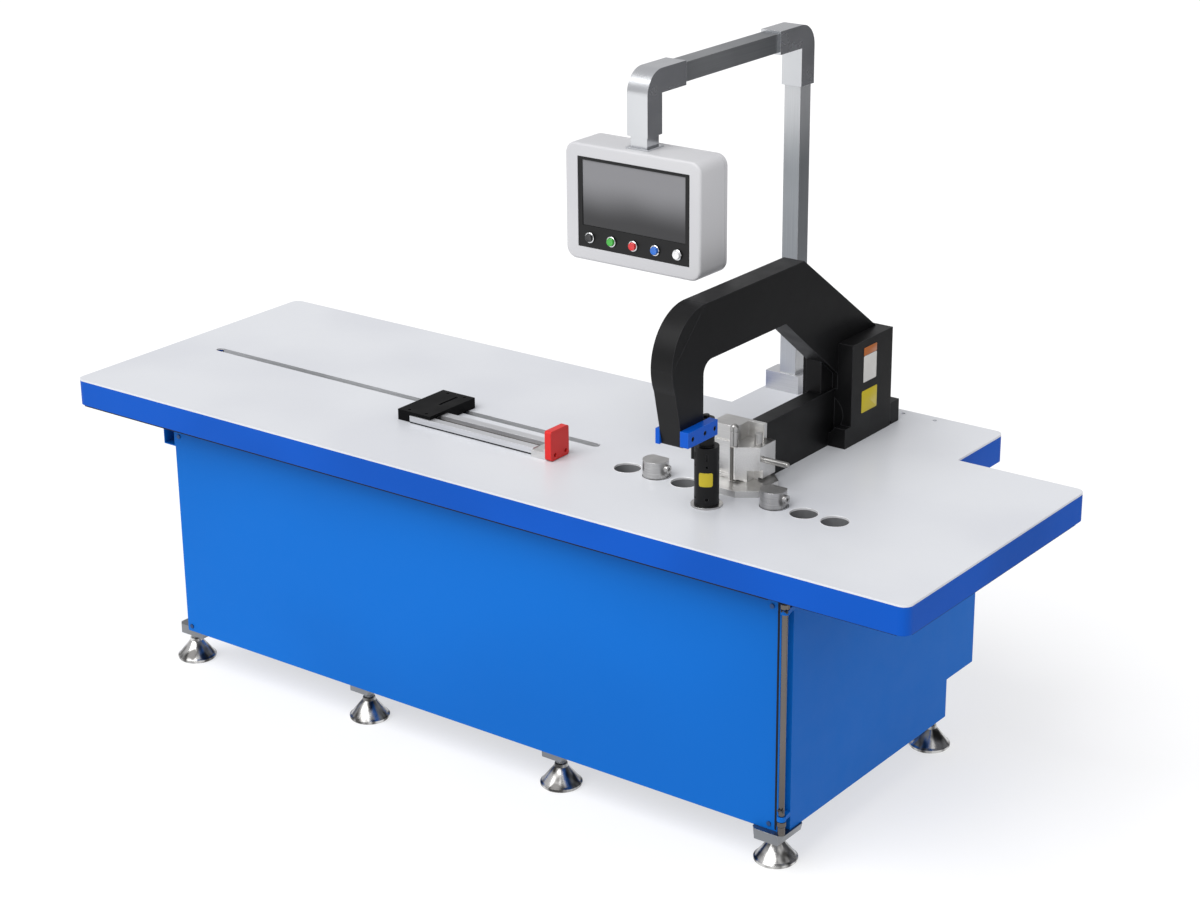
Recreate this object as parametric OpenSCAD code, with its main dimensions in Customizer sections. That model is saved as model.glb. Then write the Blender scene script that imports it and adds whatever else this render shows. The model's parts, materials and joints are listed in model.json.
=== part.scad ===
// Busbar bending machine.
//
// A long worktable on a sheet-metal cabinet carries a C-shaped press frame. A ram
// slides a die block towards two die inserts and a centre post, a back gauge runs
// in a slot along the table, and a control panel hangs from a swivelling arm.
//
// All modules draw in table coordinates: X from the table's left end, Y from its
// front edge, Z from the floor. place() then moves the origin to the middle of the
// footprint. Lengths are in millimetres.

/* [Worktable] */
// Length of the worktable
table_l = 2715; // [2315:5:3315]
// Height of the table top above the floor
table_h = 835; // [720:5:1010]
// Depth of the table left of the press
table_left_d = 910; // [880:5:1000]
// Depth of the table right of the press
table_right_d = 875; // [800:5:1000]
// Thickness of the top sheet
top_t = 5; // [3:1:8]
// Height of the table's painted edge, top sheet included
edge_h = 76; // [60:1:95]
// Thickness of the edge strips
edge_t = 5; // [3:1:8]
// Radius of the table's outer corners
corner_r = 25; // [10:1:40]
// Thickness of the steel bed under the press
bed_t = 50; // [35:1:70]

/* [Die holes] */
// Diameter of a die hole
die_hole_d = 70; // [50:1:76]
// Distance between die holes
die_pitch = 89; // [80:1:100]
// Distance of the hole row from the front edge
die_row_y = 338; // [320:1:350]
// Height of an insert above the table
insert_h = 44; // [30:1:60]

/* [Cabinet] */
// Overhang of the table beyond the cabinet's left side
cab_left = 320; // [265:5:415]
// Overhang of the table beyond the cabinet's right side
cab_right = 355; // [300:5:450]
// Overhang of the table beyond the cabinet's front
cab_front = 62; // [40:1:90]
// Depth of the cabinet
cab_d = 786; // [760:1:800]
// Extra depth of the rear box behind the press
box_d = 137; // [110:1:150]
// Height of the cabinet's lower edge above the floor
cab_z = 115; // [105:1:140]
// Height of the rear box's lower edge above the floor
box_z = 224; // [190:1:390]
// Side of the square frame tubes
tube = 60; // [50:1:65]
// Wall of the square frame tubes
tube_wall = 4; // [2:0.5:6]
// Thickness of the cabinet's sheets
sheet_t = 2; // [1.5:0.5:3]
// Depth of the front panel's folded edges
fold_d = 18; // [12:1:25]

/* [Feet] */
// Diameter of a levelling foot
foot_d = 112; // [90:1:130]
// Height of a levelling foot's cone
foot_cone_h = 62; // [50:1:66]
// Diameter of a foot's stem
foot_stem_d = 24; // [16:1:30]

/* [Back gauge] */
// Width of the slot in the table
slot_w = 25; // [16:1:26]
// Distance of the slot from the front edge
slot_y = 423; // [415:1:440]
// Distance from the table's left end to the slot
slot_x0 = 140; // [120:5:170]
// Distance of the carriage behind the press axis, along the table
carriage_back = 971; // [900:1:1000]
// Length of the carriage plate across the table
carriage_l = 189; // [170:1:220]
// Width of the carriage plate along the table
carriage_w = 113; // [100:1:130]
// Thickness of the carriage plate
carriage_t = 30; // [24:1:36]
// Diameter of the ball screw
screw_d = 25; // [20:1:28]
// Length of the gauge arm beyond the carriage plate
arm_reach = 354; // [300:1:420]
// Height of the stop plate
stop_h = 82; // [72:1:95]

/* [Press frame] */
// Distance of the press axis from the table's right end
press_right = 717; // [650:1:850]
// Thickness of the C-frame plate
frame_t = 62; // [52:1:70]
// Height of the nose above the table
nose_z = 200; // [190:1:240]
// Depth of the nose at its lower end
nose_d = 86; // [80:1:100]
// Height of the C-frame above the table
frame_h = 538; // [500:1:640]
// Height of the throat above the table
throat_z = 394; // [360:1:440]
// Width of the yoke
yoke_w = 150; // [126:1:170]
// Height of the yoke
yoke_h = 276; // [240:1:300]
// Distance of the yoke's front from the table's front edge
yoke_y = 800; // [790:1:820]
// Depth of the yoke
yoke_d = 200; // [190:1:240]

/* [Ram and dies] */
// Width of the ram housing
ram_w = 46; // [40:1:50]
// Height of the ram housing
ram_h = 150; // [130:1:170]
// Wall of the ram housing beside the ram
ram_wall = 8; // [6:0.5:9]
// Diameter of the piston
piston_d = 100; // [80:1:110]
// Diameter of the centre post
post_d = 62; // [50:1:66]
// Height of the centre post's thick part
post_h = 157; // [140:1:170]
// Length of the die block along the table
die_w = 136; // [122:1:145]
// Height of the die block
die_h = 110; // [90:1:118]
// Diameter of the nose bar
nose_bar_d = 21; // [16:1:24]
// Diameter of the lock pin
lock_pin_d = 15; // [12:1:18]

/* [Control arm] */
// Side of the arm's square tubes
arm_tube = 50; // [40:1:54]
// Side of the elbows
elbow_s = 62; // [60:1:68]
// Length of an elbow's leg
elbow_leg = 165; // [150:1:180]
// Height of the arm above the table
arm_h = 1027; // [980:1:1150]
// Distance between the column and the drop tube
arm_l = 695; // [600:1:710]
// Width of the control panel
panel_w = 412; // [390:1:430]
// Height of the control panel
panel_h = 300; // [290:1:330]
// Depth of the control panel
panel_d = 120; // [100:1:140]
// Diameter of a push button
button_d = 20; // [16:1:22]

/* [Hidden] */
$fn = 48;

// Clearances: a seat between still pieces, a gap between moving ones, a shaft's fit.
seat = 0.2;
gap = 0.3;
fit = 0.05;
// Overlap that lets a cut pass a face, and depth of a sunk screw's head.
cut = 1;
sink = 1;

// Press axis, rear of the press foot and the table's full depth.
press_x = table_l - press_right;
yoke_back = yoke_y + yoke_d;
rear_block_d = 46;
table_rear_d = yoke_back + seat + rear_block_d + 80;

// Rear extension of the table, on either side of the press axis.
ext_x0 = press_x - 373;
ext_x1 = press_x + 352;
sheet_z = table_h - top_t;
bed_z = sheet_z - bed_t;
edge_z = table_h - edge_h;

// Cabinet: outer faces, frame faces and rails.
cab_x0 = cab_left;
cab_x1 = table_l - cab_right;
cab_y1 = cab_front + cab_d;
box_y1 = cab_y1 + box_d;
door_t = 22;
frame_x0 = cab_x0 + sheet_t + seat;
frame_x1 = cab_x1 - door_t - gap;
frame_y0 = cab_front + fold_d + seat;
frame_y1 = cab_y1 - sheet_t - seat;
panel_top = edge_z - 2;
rail_z = bed_z - seat - tube;
gauge_z = sheet_z - 160;
low_rail_z = gauge_z - seat - tube;
box_x0 = ext_x0 + 8;

// Feet: four along the front and four along the rear.
foot_x0 = cab_x0 - 34;
foot_step = (cab_x1 - 62 - foot_x0) / 3;
foot_y = [cab_front + 60, cab_y1 + 31];
foot_block = 84;
foot_edge = foot_stem_d / 2 + 14;
foot_block_h = 27;
post_x = [for (i = [0:3]) max(frame_x0, min(frame_x1 - tube, foot_x0 + i * foot_step - tube / 2))];

// Door hinge: rod axis, lug and bracket heights.
hinge_x = cab_x1 - 5;
hinge_y = cab_front - 6;
hinge_rod_d = 15;
hinge_z0 = cab_z + 23;
hinge_z1 = panel_top - 25;
lug_t = 12;
door_y0 = cab_front + 26;

// Die holes: six holes, and the two of them that hold inserts.
hole_first = -308;
hole_slots = [0, 1, 2, 5, 6, 7];
insert_slots = [1, 5];
post_y = 247;
post_spigot_d = 50;

// Press frame outline, in distance from the front edge and height above the table.
nose_back = 186;
arm_front = 55;
frame_arc_r = 138;
throat_r = 35;
shoulder_y = 628;
apex_y = 548;
leg_y = 744;
slope = 0.80;
pocket_t = 16;
frame_back = yoke_back - 15;
leg_z = ram_h + gap;
foot_front = yoke_y - 28;
foot_h = 54;

// Ram, piston and die block.
stroke = 90;
die_back = 480;
die_front = die_back - 104;
die_z = 24;
die_right = 49;
housing_y0 = die_back + 4;
rod_d = 28;
piston_z = 80;
gland_t = 30;
piston_t = 35;
ram_l = stroke + 130;
bore_end = yoke_back - 15;
cradle_h = 40;
lock_y = die_back - 58;
lock_z = 76;
base_x = [-65, 79];
base_y = [325, die_back];
base_t = 17;
ram_floor = base_t + 1;
ram_roof = ram_h - 15;
nose_bar_x = -13;
nose_bar_y = die_front + 11;
nose_bar_z = 168 - nose_bar_d / 2;
spigot_r = 6;
locator_x = 30;
locator_y = die_back - 49;
locator_d = 20;
// Clamp bars, right and left of the nose: thickness, front and height above the table.
clamp_t = [24, 12];
clamp_y0 = [88, 91];
clamp_z = [nose_z + 7, nose_z];
clamp_y1 = 212;
clamp_h = 39;
clamp_screw_y = [108, 159, 200];
clamp_screw_z = nose_z + 26;
head_y0 = nose_back + 0.4;
head_y1 = clamp_y1 - 2;
post_neck_d = 38;
yoke_bolt_d = 20;
yoke_bolt_x = 60;
yoke_bolt_y = [frame_y1 + 20, box_y1 - sheet_t - seat - tube - 20];
pipe_d = 16;
port_y = [yoke_y + gland_t + 32, box_y1 - sheet_t - seat - tube - 18];
port_x = [-30, 30];
port_d = 8;

// Back gauge: bed, rails, screw and carriage.
gauge_w = 180;
gauge_x0 = slot_x0 - 65;
gauge_x1 = press_x - 383;
gauge_wall = 6;
gauge_floor = 10;
floor_z = gauge_z + gauge_floor;
rail_w = 20;
rail_h = 18;
rail_dy = 52;
block_h = 30;
block_l = 60;
saddle_z = floor_z + 12 + block_h;
saddle_t = 12;
saddle_l = 120;
screw_z = floor_z + 22;
slot_x1 = press_x - 462;
carriage_x = press_x - carriage_back;
carriage_y0 = 272;
neck_l = 90;
neck_t = slot_w - 6;
lift = 0.5;
bearing_l = [gauge_x0 + 15, gauge_x0 + 40];
bearing_r = [gauge_x1 - 215, gauge_x1 - 185];
arm_y = [268, 345];
arm_groove = [291, 319];
arm_t = 20;
arm_x0 = carriage_x - carriage_w / 2 + 44;
arm_x1 = carriage_x + carriage_w / 2 + arm_reach;
end_block_l = 50;
stop_t = 20;
stop_y = [253, 329];
stop_screw_y = [stop_y[0] + 18, stop_y[1] - 14];

// Control arm and panel.
column_x = press_x - 294;
column_y = table_rear_d - elbow_s / 2 - 3;
drop_y = column_y - arm_l;
base_h = 53;
spigot_d = 40;
panel_z1 = 830;
panel_y0 = drop_y - 55;
panel_r = 30;
panel_wall = 4;
bezel_w = 340;
bezel_h = 232;
bezel_t = 8;
bezel_x = 3;
bezel_z = panel_z1 - panel_h / 2 + 1;
screen_w = 314;
screen_h = 168;
screen_z = bezel_z + 24;
button_z = bezel_z - bezel_h / 2 + 26;
button_pitch = 67;
button_travel = 4;
button_proud = button_travel + 4;

// Cabinet contents.
tray_z = cab_z + tube + seat;
tray_t = 3;
tank_x = press_x - 263;
tank_y = 330;
tank_size = [520, 430, 280];
tank_z = tray_z + tray_t;
tank_top = tank_z + tank_size[2];
valve_size = [130, 110, 80];
valve_y = 610;
motor_d = 170;
motor_l = 250;
motor_x = press_x - 150;
motor_y = 470;

// ---------- shared shapes ----------

module place() translate([-table_l / 2, -table_rear_d / 2, 0]) children();

// Box between two corners.
module block(a, b) translate(a) cube(b - a);

module rod_x(x0, x1, y, z, d) translate([x0, y, z]) rotate([0, 90, 0]) cylinder(d = d, h = x1 - x0);

module rod_y(x, y0, y1, z, d) translate([x, y0, z]) rotate([-90, 0, 0]) cylinder(d = d, h = y1 - y0);

module rod_z(x, y, z0, z1, d) translate([x, y, z0]) cylinder(d = d, h = z1 - z0);

// Rectangle with round corners.
module round_rect(a, b, r) {
    translate([a[0] + r, a[1]]) square([b[0] - a[0] - 2 * r, b[1] - a[1]]);
    translate([a[0], a[1] + r]) square([b[0] - a[0], b[1] - a[1] - 2 * r]);
    for (x = [a[0] + r, b[0] - r], y = [a[1] + r, b[1] - r]) translate([x, y]) circle(r);
}

// Flat outline in the YZ plane, extruded along X from x0.
module slab_x(x0, t) translate([x0, 0, 0]) rotate([90, 0, 90]) linear_extrude(t) children();

// Flat outline in the XZ plane, extruded towards the rear from y0.
module slab_y(y0, t) translate([0, y0 + t, 0]) rotate([90, 0, 0]) linear_extrude(t) children();

// Square tube between two corners, open along the given axis (0 = X, 1 = Y, 2 = Z).
module hollow(a, b, axis, wall = tube_wall) {
    low = [for (i = [0:2]) i == axis ? a[i] - cut : a[i] + wall];
    high = [for (i = [0:2]) i == axis ? b[i] + cut : b[i] - wall];
    difference() {
        block(a, b);
        block(low, high);
    }
}

// Cap screw along -Z, sunk below the face at Z = 0, with a hexagon socket.
module cap_screw(d, l) {
    translate([0, 0, -sink]) difference() {
        union() {
            translate([0, 0, -d]) cylinder(d = 1.5 * d, h = d);
            translate([0, 0, -d - l]) cylinder(d = d, h = l + cut);
        }
        translate([0, 0, -d / 2]) cylinder(d = 0.9 * d, h = d, $fn = 6);
    }
}

// Hole that takes a cap screw, with its counterbore.
module cap_hole(d, l) {
    translate([0, 0, -sink - d - seat]) cylinder(d = 1.5 * d + 2 * gap, h = sink + d + seat + cut);
    translate([0, 0, -sink - d - l - gap]) cylinder(d = d + 2 * seat, h = l + cut);
}

// ---------- worktable ----------

// Outline of the table, moved in by an inset.
module table_outline(inset) {
    r = corner_r - inset;
    lap = 4 * corner_r;
    round_rect([inset, inset], [ext_x0 + lap, table_left_d - inset], r);
    round_rect([ext_x0 + inset, inset], [ext_x1 - inset, table_rear_d - inset], r);
    round_rect([ext_x1 - lap, inset], [table_l - inset, table_right_d - inset], r);
}

function hole_x(i) = press_x + hole_first + i * die_pitch;

module die_holes(d, z0, z1) {
    for (i = hole_slots) rod_z(hole_x(i), die_row_y, z0, z1, d);
}

module port_holes(z0, z1) {
    for (i = [0, 1]) rod_z(press_x + port_x[i], port_y[i], z0, z1, pipe_d + 10);
}

module yoke_bolt_places() {
    for (x = [-yoke_bolt_x, yoke_bolt_x], y = yoke_bolt_y) translate([press_x + x, y, 0]) children();
}

module table_top() {
    color("whitesmoke") difference() {
        translate([0, 0, sheet_z]) linear_extrude(top_t) table_outline(0);
        die_holes(die_hole_d + 1, sheet_z - cut, table_h + cut);
        rod_z(press_x, post_y, sheet_z - cut, table_h + cut, post_spigot_d + 2);
        port_holes(sheet_z - cut, table_h + cut);
        yoke_bolt_places() rod_z(0, 0, sheet_z - cut, table_h + cut, yoke_bolt_d + 2);
        translate([0, 0, sheet_z - cut]) linear_extrude(top_t + 2 * cut) {
            translate([slot_x0 + slot_w / 2, slot_y - slot_w / 2])
                square([slot_x1 - slot_x0 - slot_w, slot_w]);
            for (x = [slot_x0 + slot_w / 2, slot_x1 - slot_w / 2]) translate([x, slot_y]) circle(d = slot_w);
        }
        for (x = [57, 155]) rod_z(press_x + x, table_rear_d - 25, sheet_z - cut, table_h + cut, 12);
    }
}

// Painted edge: one strip along each side of the outline.
module table_skirt() {
    w = corner_r + edge_t + 5;
    strips = [
        [[-cut, -cut], [table_l + cut, w]],
        [[table_l - w, w + seat], [table_l + cut, table_right_d + cut]],
        [[ext_x1 + seat, table_right_d - w], [table_l - w - seat, table_right_d + cut]],
        [[ext_x1 - w, table_right_d - w], [ext_x1, table_rear_d + cut]],
        [[ext_x0 + w + seat, table_rear_d - w], [ext_x1 - w - seat, table_rear_d + cut]],
        [[ext_x0, table_left_d - w], [ext_x0 + w, table_rear_d + cut]],
        [[w + seat, table_left_d - w], [ext_x0 - seat, table_left_d + cut]],
        [[-cut, w + seat], [w, table_left_d + cut]]
    ];
    color("royalblue") for (s = strips) {
        translate([0, 0, edge_z]) linear_extrude(edge_h - top_t) intersection() {
            difference() {
                table_outline(0);
                table_outline(edge_t);
            }
            translate(s[0]) square(s[1] - s[0]);
        }
    }
}

module bed_plate() {
    color("dimgray") difference() {
        union() {
            block([gauge_x1 + 25, 150, bed_z], [ext_x1 + 25, table_right_d - 15, sheet_z]);
            block([ext_x0 + 50, table_right_d - 20, bed_z], [ext_x1 - 30, table_rear_d - 45, sheet_z]);
        }
        die_holes(die_hole_d, bed_z - cut, sheet_z + cut);
        rod_z(press_x, post_y, bed_z - cut, sheet_z + cut, post_spigot_d + 2 * fit);
        port_holes(bed_z - cut, sheet_z + cut);
        yoke_bolt_places() rod_z(0, 0, bed_z - cut, sheet_z + cut, yoke_bolt_d + 1);
    }
}

// Cross tubes under the top sheet, kept clear of the back gauge.
module table_ribs() {
    side = 40;
    y0 = edge_t + 10;
    gauge_y = [slot_y - gauge_w / 2 - 3, slot_y + gauge_w / 2 + 3];
    left_n = 5;
    left_step = (gauge_x1 - 2 * side - gauge_x0) / (left_n - 1);
    right_x = [ext_x1 + 60, table_l - 60 - side];
    color("dimgray") {
        for (i = [0:left_n - 1]) {
            x = gauge_x0 + i * left_step;
            hollow([x, y0, sheet_z - side], [x + side, gauge_y[0], sheet_z], 1, 3);
            hollow([x, gauge_y[1], sheet_z - side], [x + side, table_left_d - y0, sheet_z], 1, 3);
        }
        for (x = right_x) hollow([x, y0, sheet_z - side], [x + side, table_right_d - y0, sheet_z], 1, 3);
        // Spacers carry the ribs on the cabinet's top rails.
        for (y = [frame_y0, frame_y1 - tube])
            block([frame_x0, y, bed_z], [gauge_x1, y + tube, sheet_z - side - seat]);
    }
}

// ---------- cabinet ----------

module foot_places() {
    for (i = [0:3], y = foot_y) translate([foot_x0 + i * foot_step, y, 0]) children();
}

// Bracket between two corners, with its lower edges drawn in and its corners cut.
module foot_bracket(a, b) {
    c = 12;
    intersection() {
        slab_y(a[1] - cut, b[1] - a[1] + 2 * cut) polygon([
            [a[0] + c, cab_z - seat - foot_block_h], [b[0] - c, cab_z - seat - foot_block_h],
            [b[0], cab_z - seat], [a[0], cab_z - seat]
        ]);
        linear_extrude(cab_z) polygon([
            [a[0] + c, a[1]], [b[0] - c, a[1]], [b[0], a[1] + c], [b[0], b[1] - c],
            [b[0] - c, b[1]], [a[0] + c, b[1]], [a[0], b[1] - c], [a[0], a[1] + c]
        ]);
    }
}

// Brackets under the frame that take the feet's stems. The one at the front right
// also carries the rod of the door's hinge.
module foot_blocks() {
    h = foot_block / 2;
    for (i = [0:3], k = [0, 1]) {
        x = foot_x0 + i * foot_step;
        y = foot_y[k];
        hinged = i == 3 && k == 0;
        side = i == 0 || hinged ? foot_edge : h;
        y0 = k == 1 ? frame_y1 - tube + 10 : hinged ? hinge_y - 12 : y - h;
        x1 = i == 0 ? frame_x0 + 45 : hinged ? hinge_x + 10 : min(x + h, frame_x1);
        difference() {
            foot_bracket([x - side, y0], [x1, k == 1 ? y + 20 : y + side]);
            rod_z(x, y, 0, cab_z, foot_stem_d + 2 * fit);
        }
    }
}

module cabinet_frame() {
    top = cab_z + tube;
    ys = [frame_y0, frame_y1 - tube];
    color("royalblue") {
        difference() {
            // Bottom and top rails along the cabinet.
            for (y = ys, z = [cab_z, rail_z]) hollow([frame_x0, y, z], [frame_x1, y + tube, z + tube], 0);
            panel_screw_places() rod_y(0, frame_y0 - cut, frame_y0 + 10, 0, 7);
        }
        // Uprights and cross rails.
        difference() {
            for (x = post_x, y = ys)
                hollow([x, y, top + seat], [x + tube, y + tube, rail_z - seat], 2);
            panel_screw_places() rod_y(0, frame_y0 - cut, frame_y0 + 10, 0, 7);
        }
        for (x = post_x, z = [cab_z, low_rail_z])
            hollow([x, frame_y0 + tube + seat, z], [x + tube, frame_y1 - tube - seat, z + tube], 1);
        // Rear box.
        for (x = [box_x0 + sheet_t + seat, post_x[3]]) {
            hollow([x, box_y1 - sheet_t - seat - tube, box_z + tube + 2 * seat],
                   [x + tube, box_y1 - sheet_t - seat, rail_z - seat], 2);
            hollow([x, frame_y1 + seat, box_z + seat],
                   [x + tube, box_y1 - sheet_t - seat, box_z + tube + seat], 1);
        }
        hollow([box_x0 + sheet_t + seat, box_y1 - sheet_t - seat - tube, rail_z],
               [frame_x1, box_y1 - sheet_t - seat, rail_z + tube], 0);
        // Short tube under the table's left overhang.
        hollow([cab_x0 - 44, cab_front, panel_top - 77],
               [cab_x0 - seat, slot_y - gauge_w / 2 - 8, panel_top], 1, 3);
    }
}

// Places of the front panel's screws, in the XZ plane.
module panel_screw_places() {
    for (x = [cab_x0 + 16, frame_x1 - 22], z = [cab_z + 16, rail_z - 8]) translate([x, 0, z]) children();
}

// Front panel: a pan, open at the rear, with its edges folded in.
module front_panel() {
    x1 = frame_x1 + 4;
    color("royalblue") difference() {
        block([cab_x0, cab_front, cab_z], [x1, cab_front + fold_d, panel_top]);
        block([cab_x0 + sheet_t, cab_front + sheet_t, cab_z + sheet_t],
              [x1 - sheet_t, cab_front + fold_d + cut, panel_top - sheet_t]);
        panel_screw_places() rod_y(0, cab_front - cut, cab_front + fold_d, 0, 7);
    }
}

module left_panel() {
    opening = [slot_y - gauge_w / 2 - 2, slot_y + gauge_w / 2 + 2];
    color("royalblue") difference() {
        block([cab_x0, frame_y0, cab_z], [cab_x0 + sheet_t, frame_y1, panel_top]);
        block([cab_x0 - cut, opening[0], gauge_z - 2],
              [cab_x0 + sheet_t + cut, opening[1], panel_top + cut]);
    }
}

// Rear sheet of the cabinet, and the folded cover of the rear box.
module rear_panel() {
    y0 = cab_y1 - sheet_t;
    color("royalblue") {
        union() {
            block([cab_x0, y0, cab_z], [box_x0 - seat, cab_y1, panel_top]);
            block([box_x0 - cut, y0, cab_z], [frame_x1, cab_y1, box_z - seat]);
        }
        difference() {
            block([box_x0, cab_y1 + seat, box_z], [frame_x1, box_y1, panel_top]);
            block([box_x0 + sheet_t, y0, box_z + sheet_t / 10],
                  [frame_x1 + cut, box_y1 - sheet_t, panel_top + cut]);
        }
    }
}

module bottom_tray() {
    color("silver") block([frame_x0 + tube / 2, frame_y0 + tube + 1, tray_z],
                          [frame_x1 - tube / 2, frame_y1 - tube - 1, tray_z + tray_t]);
}

// Button-head screws that hold the front panel.
module panel_screws() {
    color("silver") panel_screw_places() {
        rod_y(0, cab_front - 3, cab_front - seat / 4, 0, 12);
        rod_y(0, cab_front - seat, frame_y0 + 3, 0, 6);
    }
}

// ---------- feet ----------

// Stems with their lock nuts, and the brackets they stand in.
module foot_stems() {
    nut_h = 13;
    nut_z = cab_z - foot_block_h - 2 * seat - nut_h;
    color("silver") {
        foot_blocks();
        foot_places() {
            rod_z(0, 0, foot_cone_h / 2 + seat, cab_z - 2 * seat, foot_stem_d);
            translate([0, 0, nut_z]) cylinder(d = 1.7 * foot_stem_d, h = nut_h, $fn = 6);
        }
    }
}

module foot_pads() {
    r = foot_d / 2;
    top_r = foot_stem_d / 2 + 5;
    color("silver") foot_places() difference() {
        rotate_extrude() polygon([
            [0, 0], [r - 3, 0], [r, 4], [r, 9], [r - 5, 13],
            [top_r + 2, foot_cone_h - 8], [top_r, foot_cone_h], [0, foot_cone_h]
        ]);
        rod_z(0, 0, foot_cone_h / 2, foot_cone_h + cut, foot_stem_d + 2 * fit);
    }
}

// ---------- end door ----------

// Hinge rod on its foot sleeve, with a bracket near each end.
module door_hinge() {
    edge = frame_y0 + 3;
    color("silver") {
        rod_z(hinge_x, hinge_y, hinge_z0 - cut, hinge_z1, hinge_rod_d);
        rod_z(hinge_x, hinge_y, cab_z, hinge_z0, hinge_rod_d + 4);
        for (z = [hinge_z0 + 2, hinge_z1 - 2 - lug_t]) translate([0, 0, z]) difference() {
            linear_extrude(lug_t) {
                translate([hinge_x, hinge_y]) circle(r = hinge_rod_d / 2 + 4);
                polygon([[frame_x1 + gap + 4, hinge_y], [hinge_x, hinge_y - 8], [hinge_x + 8, hinge_y + 8],
                         [hinge_x - 6, edge], [frame_x1 + gap, edge], [frame_x1 + gap, cab_front + fold_d],
                         [frame_x1 + gap + 4, cab_front + fold_d]]);
            }
            rod_z(hinge_x, hinge_y, -cut, lug_t + cut, hinge_rod_d + 2 * fit);
        }
    }
}

// Outline of the end door in the YZ plane, moved in by an inset.
module door_outline(inset) {
    polygon([
        [door_y0 + inset, cab_z + gap + inset], [cab_y1 - inset, cab_z + gap + inset],
        [cab_y1 - inset, box_z + inset], [box_y1 - inset, box_z + inset],
        [box_y1 - inset, panel_top - inset], [door_y0 + inset, panel_top - inset]
    ]);
}

// End door: an L-shaped pan with two lugs on the hinge rod.
module end_door() {
    x0 = cab_x1 - door_t;
    color("royalblue") {
        difference() {
            slab_x(x0, door_t) door_outline(0);
            slab_x(x0 - cut, door_t - sheet_t + cut) door_outline(sheet_t);
        }
        for (z = [hinge_z0 + 4 + lug_t, hinge_z1 - 4 - 2 * lug_t]) translate([0, 0, z]) difference() {
            linear_extrude(lug_t) {
                translate([hinge_x, hinge_y]) circle(r = hinge_rod_d / 2 + 4);
                polygon([[hinge_x - 9, hinge_y], [hinge_x + 9, hinge_y], [cab_x1, door_y0 + sheet_t],
                         [cab_x1 - 14, door_y0 + sheet_t]]);
            }
            rod_z(hinge_x, hinge_y, -cut, lug_t + cut, hinge_rod_d + 2 * fit);
        }
    }
}

// ---------- back gauge ----------

module gauge_bed() {
    y0 = slot_y - gauge_w / 2;
    y1 = slot_y + gauge_w / 2;
    color("dimgray") difference() {
        block([gauge_x0, y0, gauge_z], [gauge_x1, y1, sheet_z]);
        block([gauge_x0 - cut, y0 + gauge_wall, floor_z], [gauge_x1 + cut, y1 - gauge_wall, sheet_z + cut]);
    }
}

module gauge_rails() {
    color("silver") for (s = [-1, 1]) {
        y = slot_y + s * rail_dy;
        difference() {
            block([bearing_l[1] + 5, y - rail_w / 2, floor_z],
                  [bearing_r[0] - 5, y + rail_w / 2, floor_z + rail_h]);
            for (e = [-1, 1]) block([0, y + e * (rail_w / 2 + 0.5) - 2.5, floor_z + 7],
                                    [table_l, y + e * (rail_w / 2 + 0.5) + 2.5, floor_z + 12]);
        }
    }
}

module gauge_bearings() {
    color("dimgray") for (b = [bearing_l, bearing_r]) difference() {
        block([b[0], slot_y - 32, floor_z], [b[1], slot_y + 32, screw_z + 26]);
        rod_x(b[0] - cut, b[1] + cut, slot_y, screw_z, screw_d - 5 + 2 * fit);
    }
}

module gauge_motor() {
    x0 = bearing_r[1] + 44;
    color("dimgray") difference() {
        union() {
            block([x0, slot_y - 40, floor_z], [x0 + 12, slot_y + 40, floor_z + 84]);
            block([x0 + 12, slot_y - 36, floor_z + gap], [gauge_x1 - 12, slot_y + 36, floor_z + 78]);
        }
        rod_x(x0 - cut, x0 + 30, slot_y, screw_z, 16);
    }
}

// Ball screw with turned ends and the clamp coupling on the motor's side.
module gauge_screw() {
    color("silver") {
        rod_x(bearing_l[1] + gap, bearing_r[0] - gap, slot_y, screw_z, screw_d);
        rod_x(bearing_l[0] - 4, bearing_l[1] + 1, slot_y, screw_z, screw_d - 5);
        rod_x(bearing_r[0] - 1, bearing_r[1] + 10, slot_y, screw_z, screw_d - 5);
        rod_x(bearing_r[1] + 3, bearing_r[1] + 38, slot_y, screw_z, 40);
        rod_x(bearing_r[1] + 37, bearing_r[1] + 60, slot_y, screw_z, 14);
    }
}

module gauge_nut() {
    color("darkgray") difference() {
        union() {
            rod_x(carriage_x - 45, carriage_x + 20, slot_y, screw_z, 40);
            block([carriage_x + 5, slot_y - 24, screw_z - 19], [carriage_x + 45, slot_y + 24, saddle_z]);
        }
        rod_x(carriage_x - 50, carriage_x + 50, slot_y, screw_z, screw_d + 2 * fit);
    }
}

module gauge_blocks() {
    color("silver") for (s = [-1, 1], e = [-1, 1]) {
        x = carriage_x + e * (saddle_l - block_l) / 2 - block_l / 2;
        y = slot_y + s * rail_dy;
        difference() {
            block([x, y - 22, saddle_z - block_h], [x + block_l, y + 22, saddle_z]);
            block([x - cut, y - rail_w / 2 - gap, 0],
                  [x + block_l + cut, y + rail_w / 2 + gap, floor_z + rail_h + gap]);
        }
    }
}

// Saddle under the table; its neck comes up through the slot.
module gauge_saddle() {
    color("dimgray") {
        block([carriage_x - saddle_l / 2, slot_y - rail_dy - 24, saddle_z],
              [carriage_x + saddle_l / 2, slot_y + rail_dy + 24, saddle_z + saddle_t]);
        block([carriage_x - neck_l / 2, slot_y - neck_t / 2, saddle_z],
              [carriage_x + neck_l / 2, slot_y + neck_t / 2, table_h + lift]);
    }
}

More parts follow.
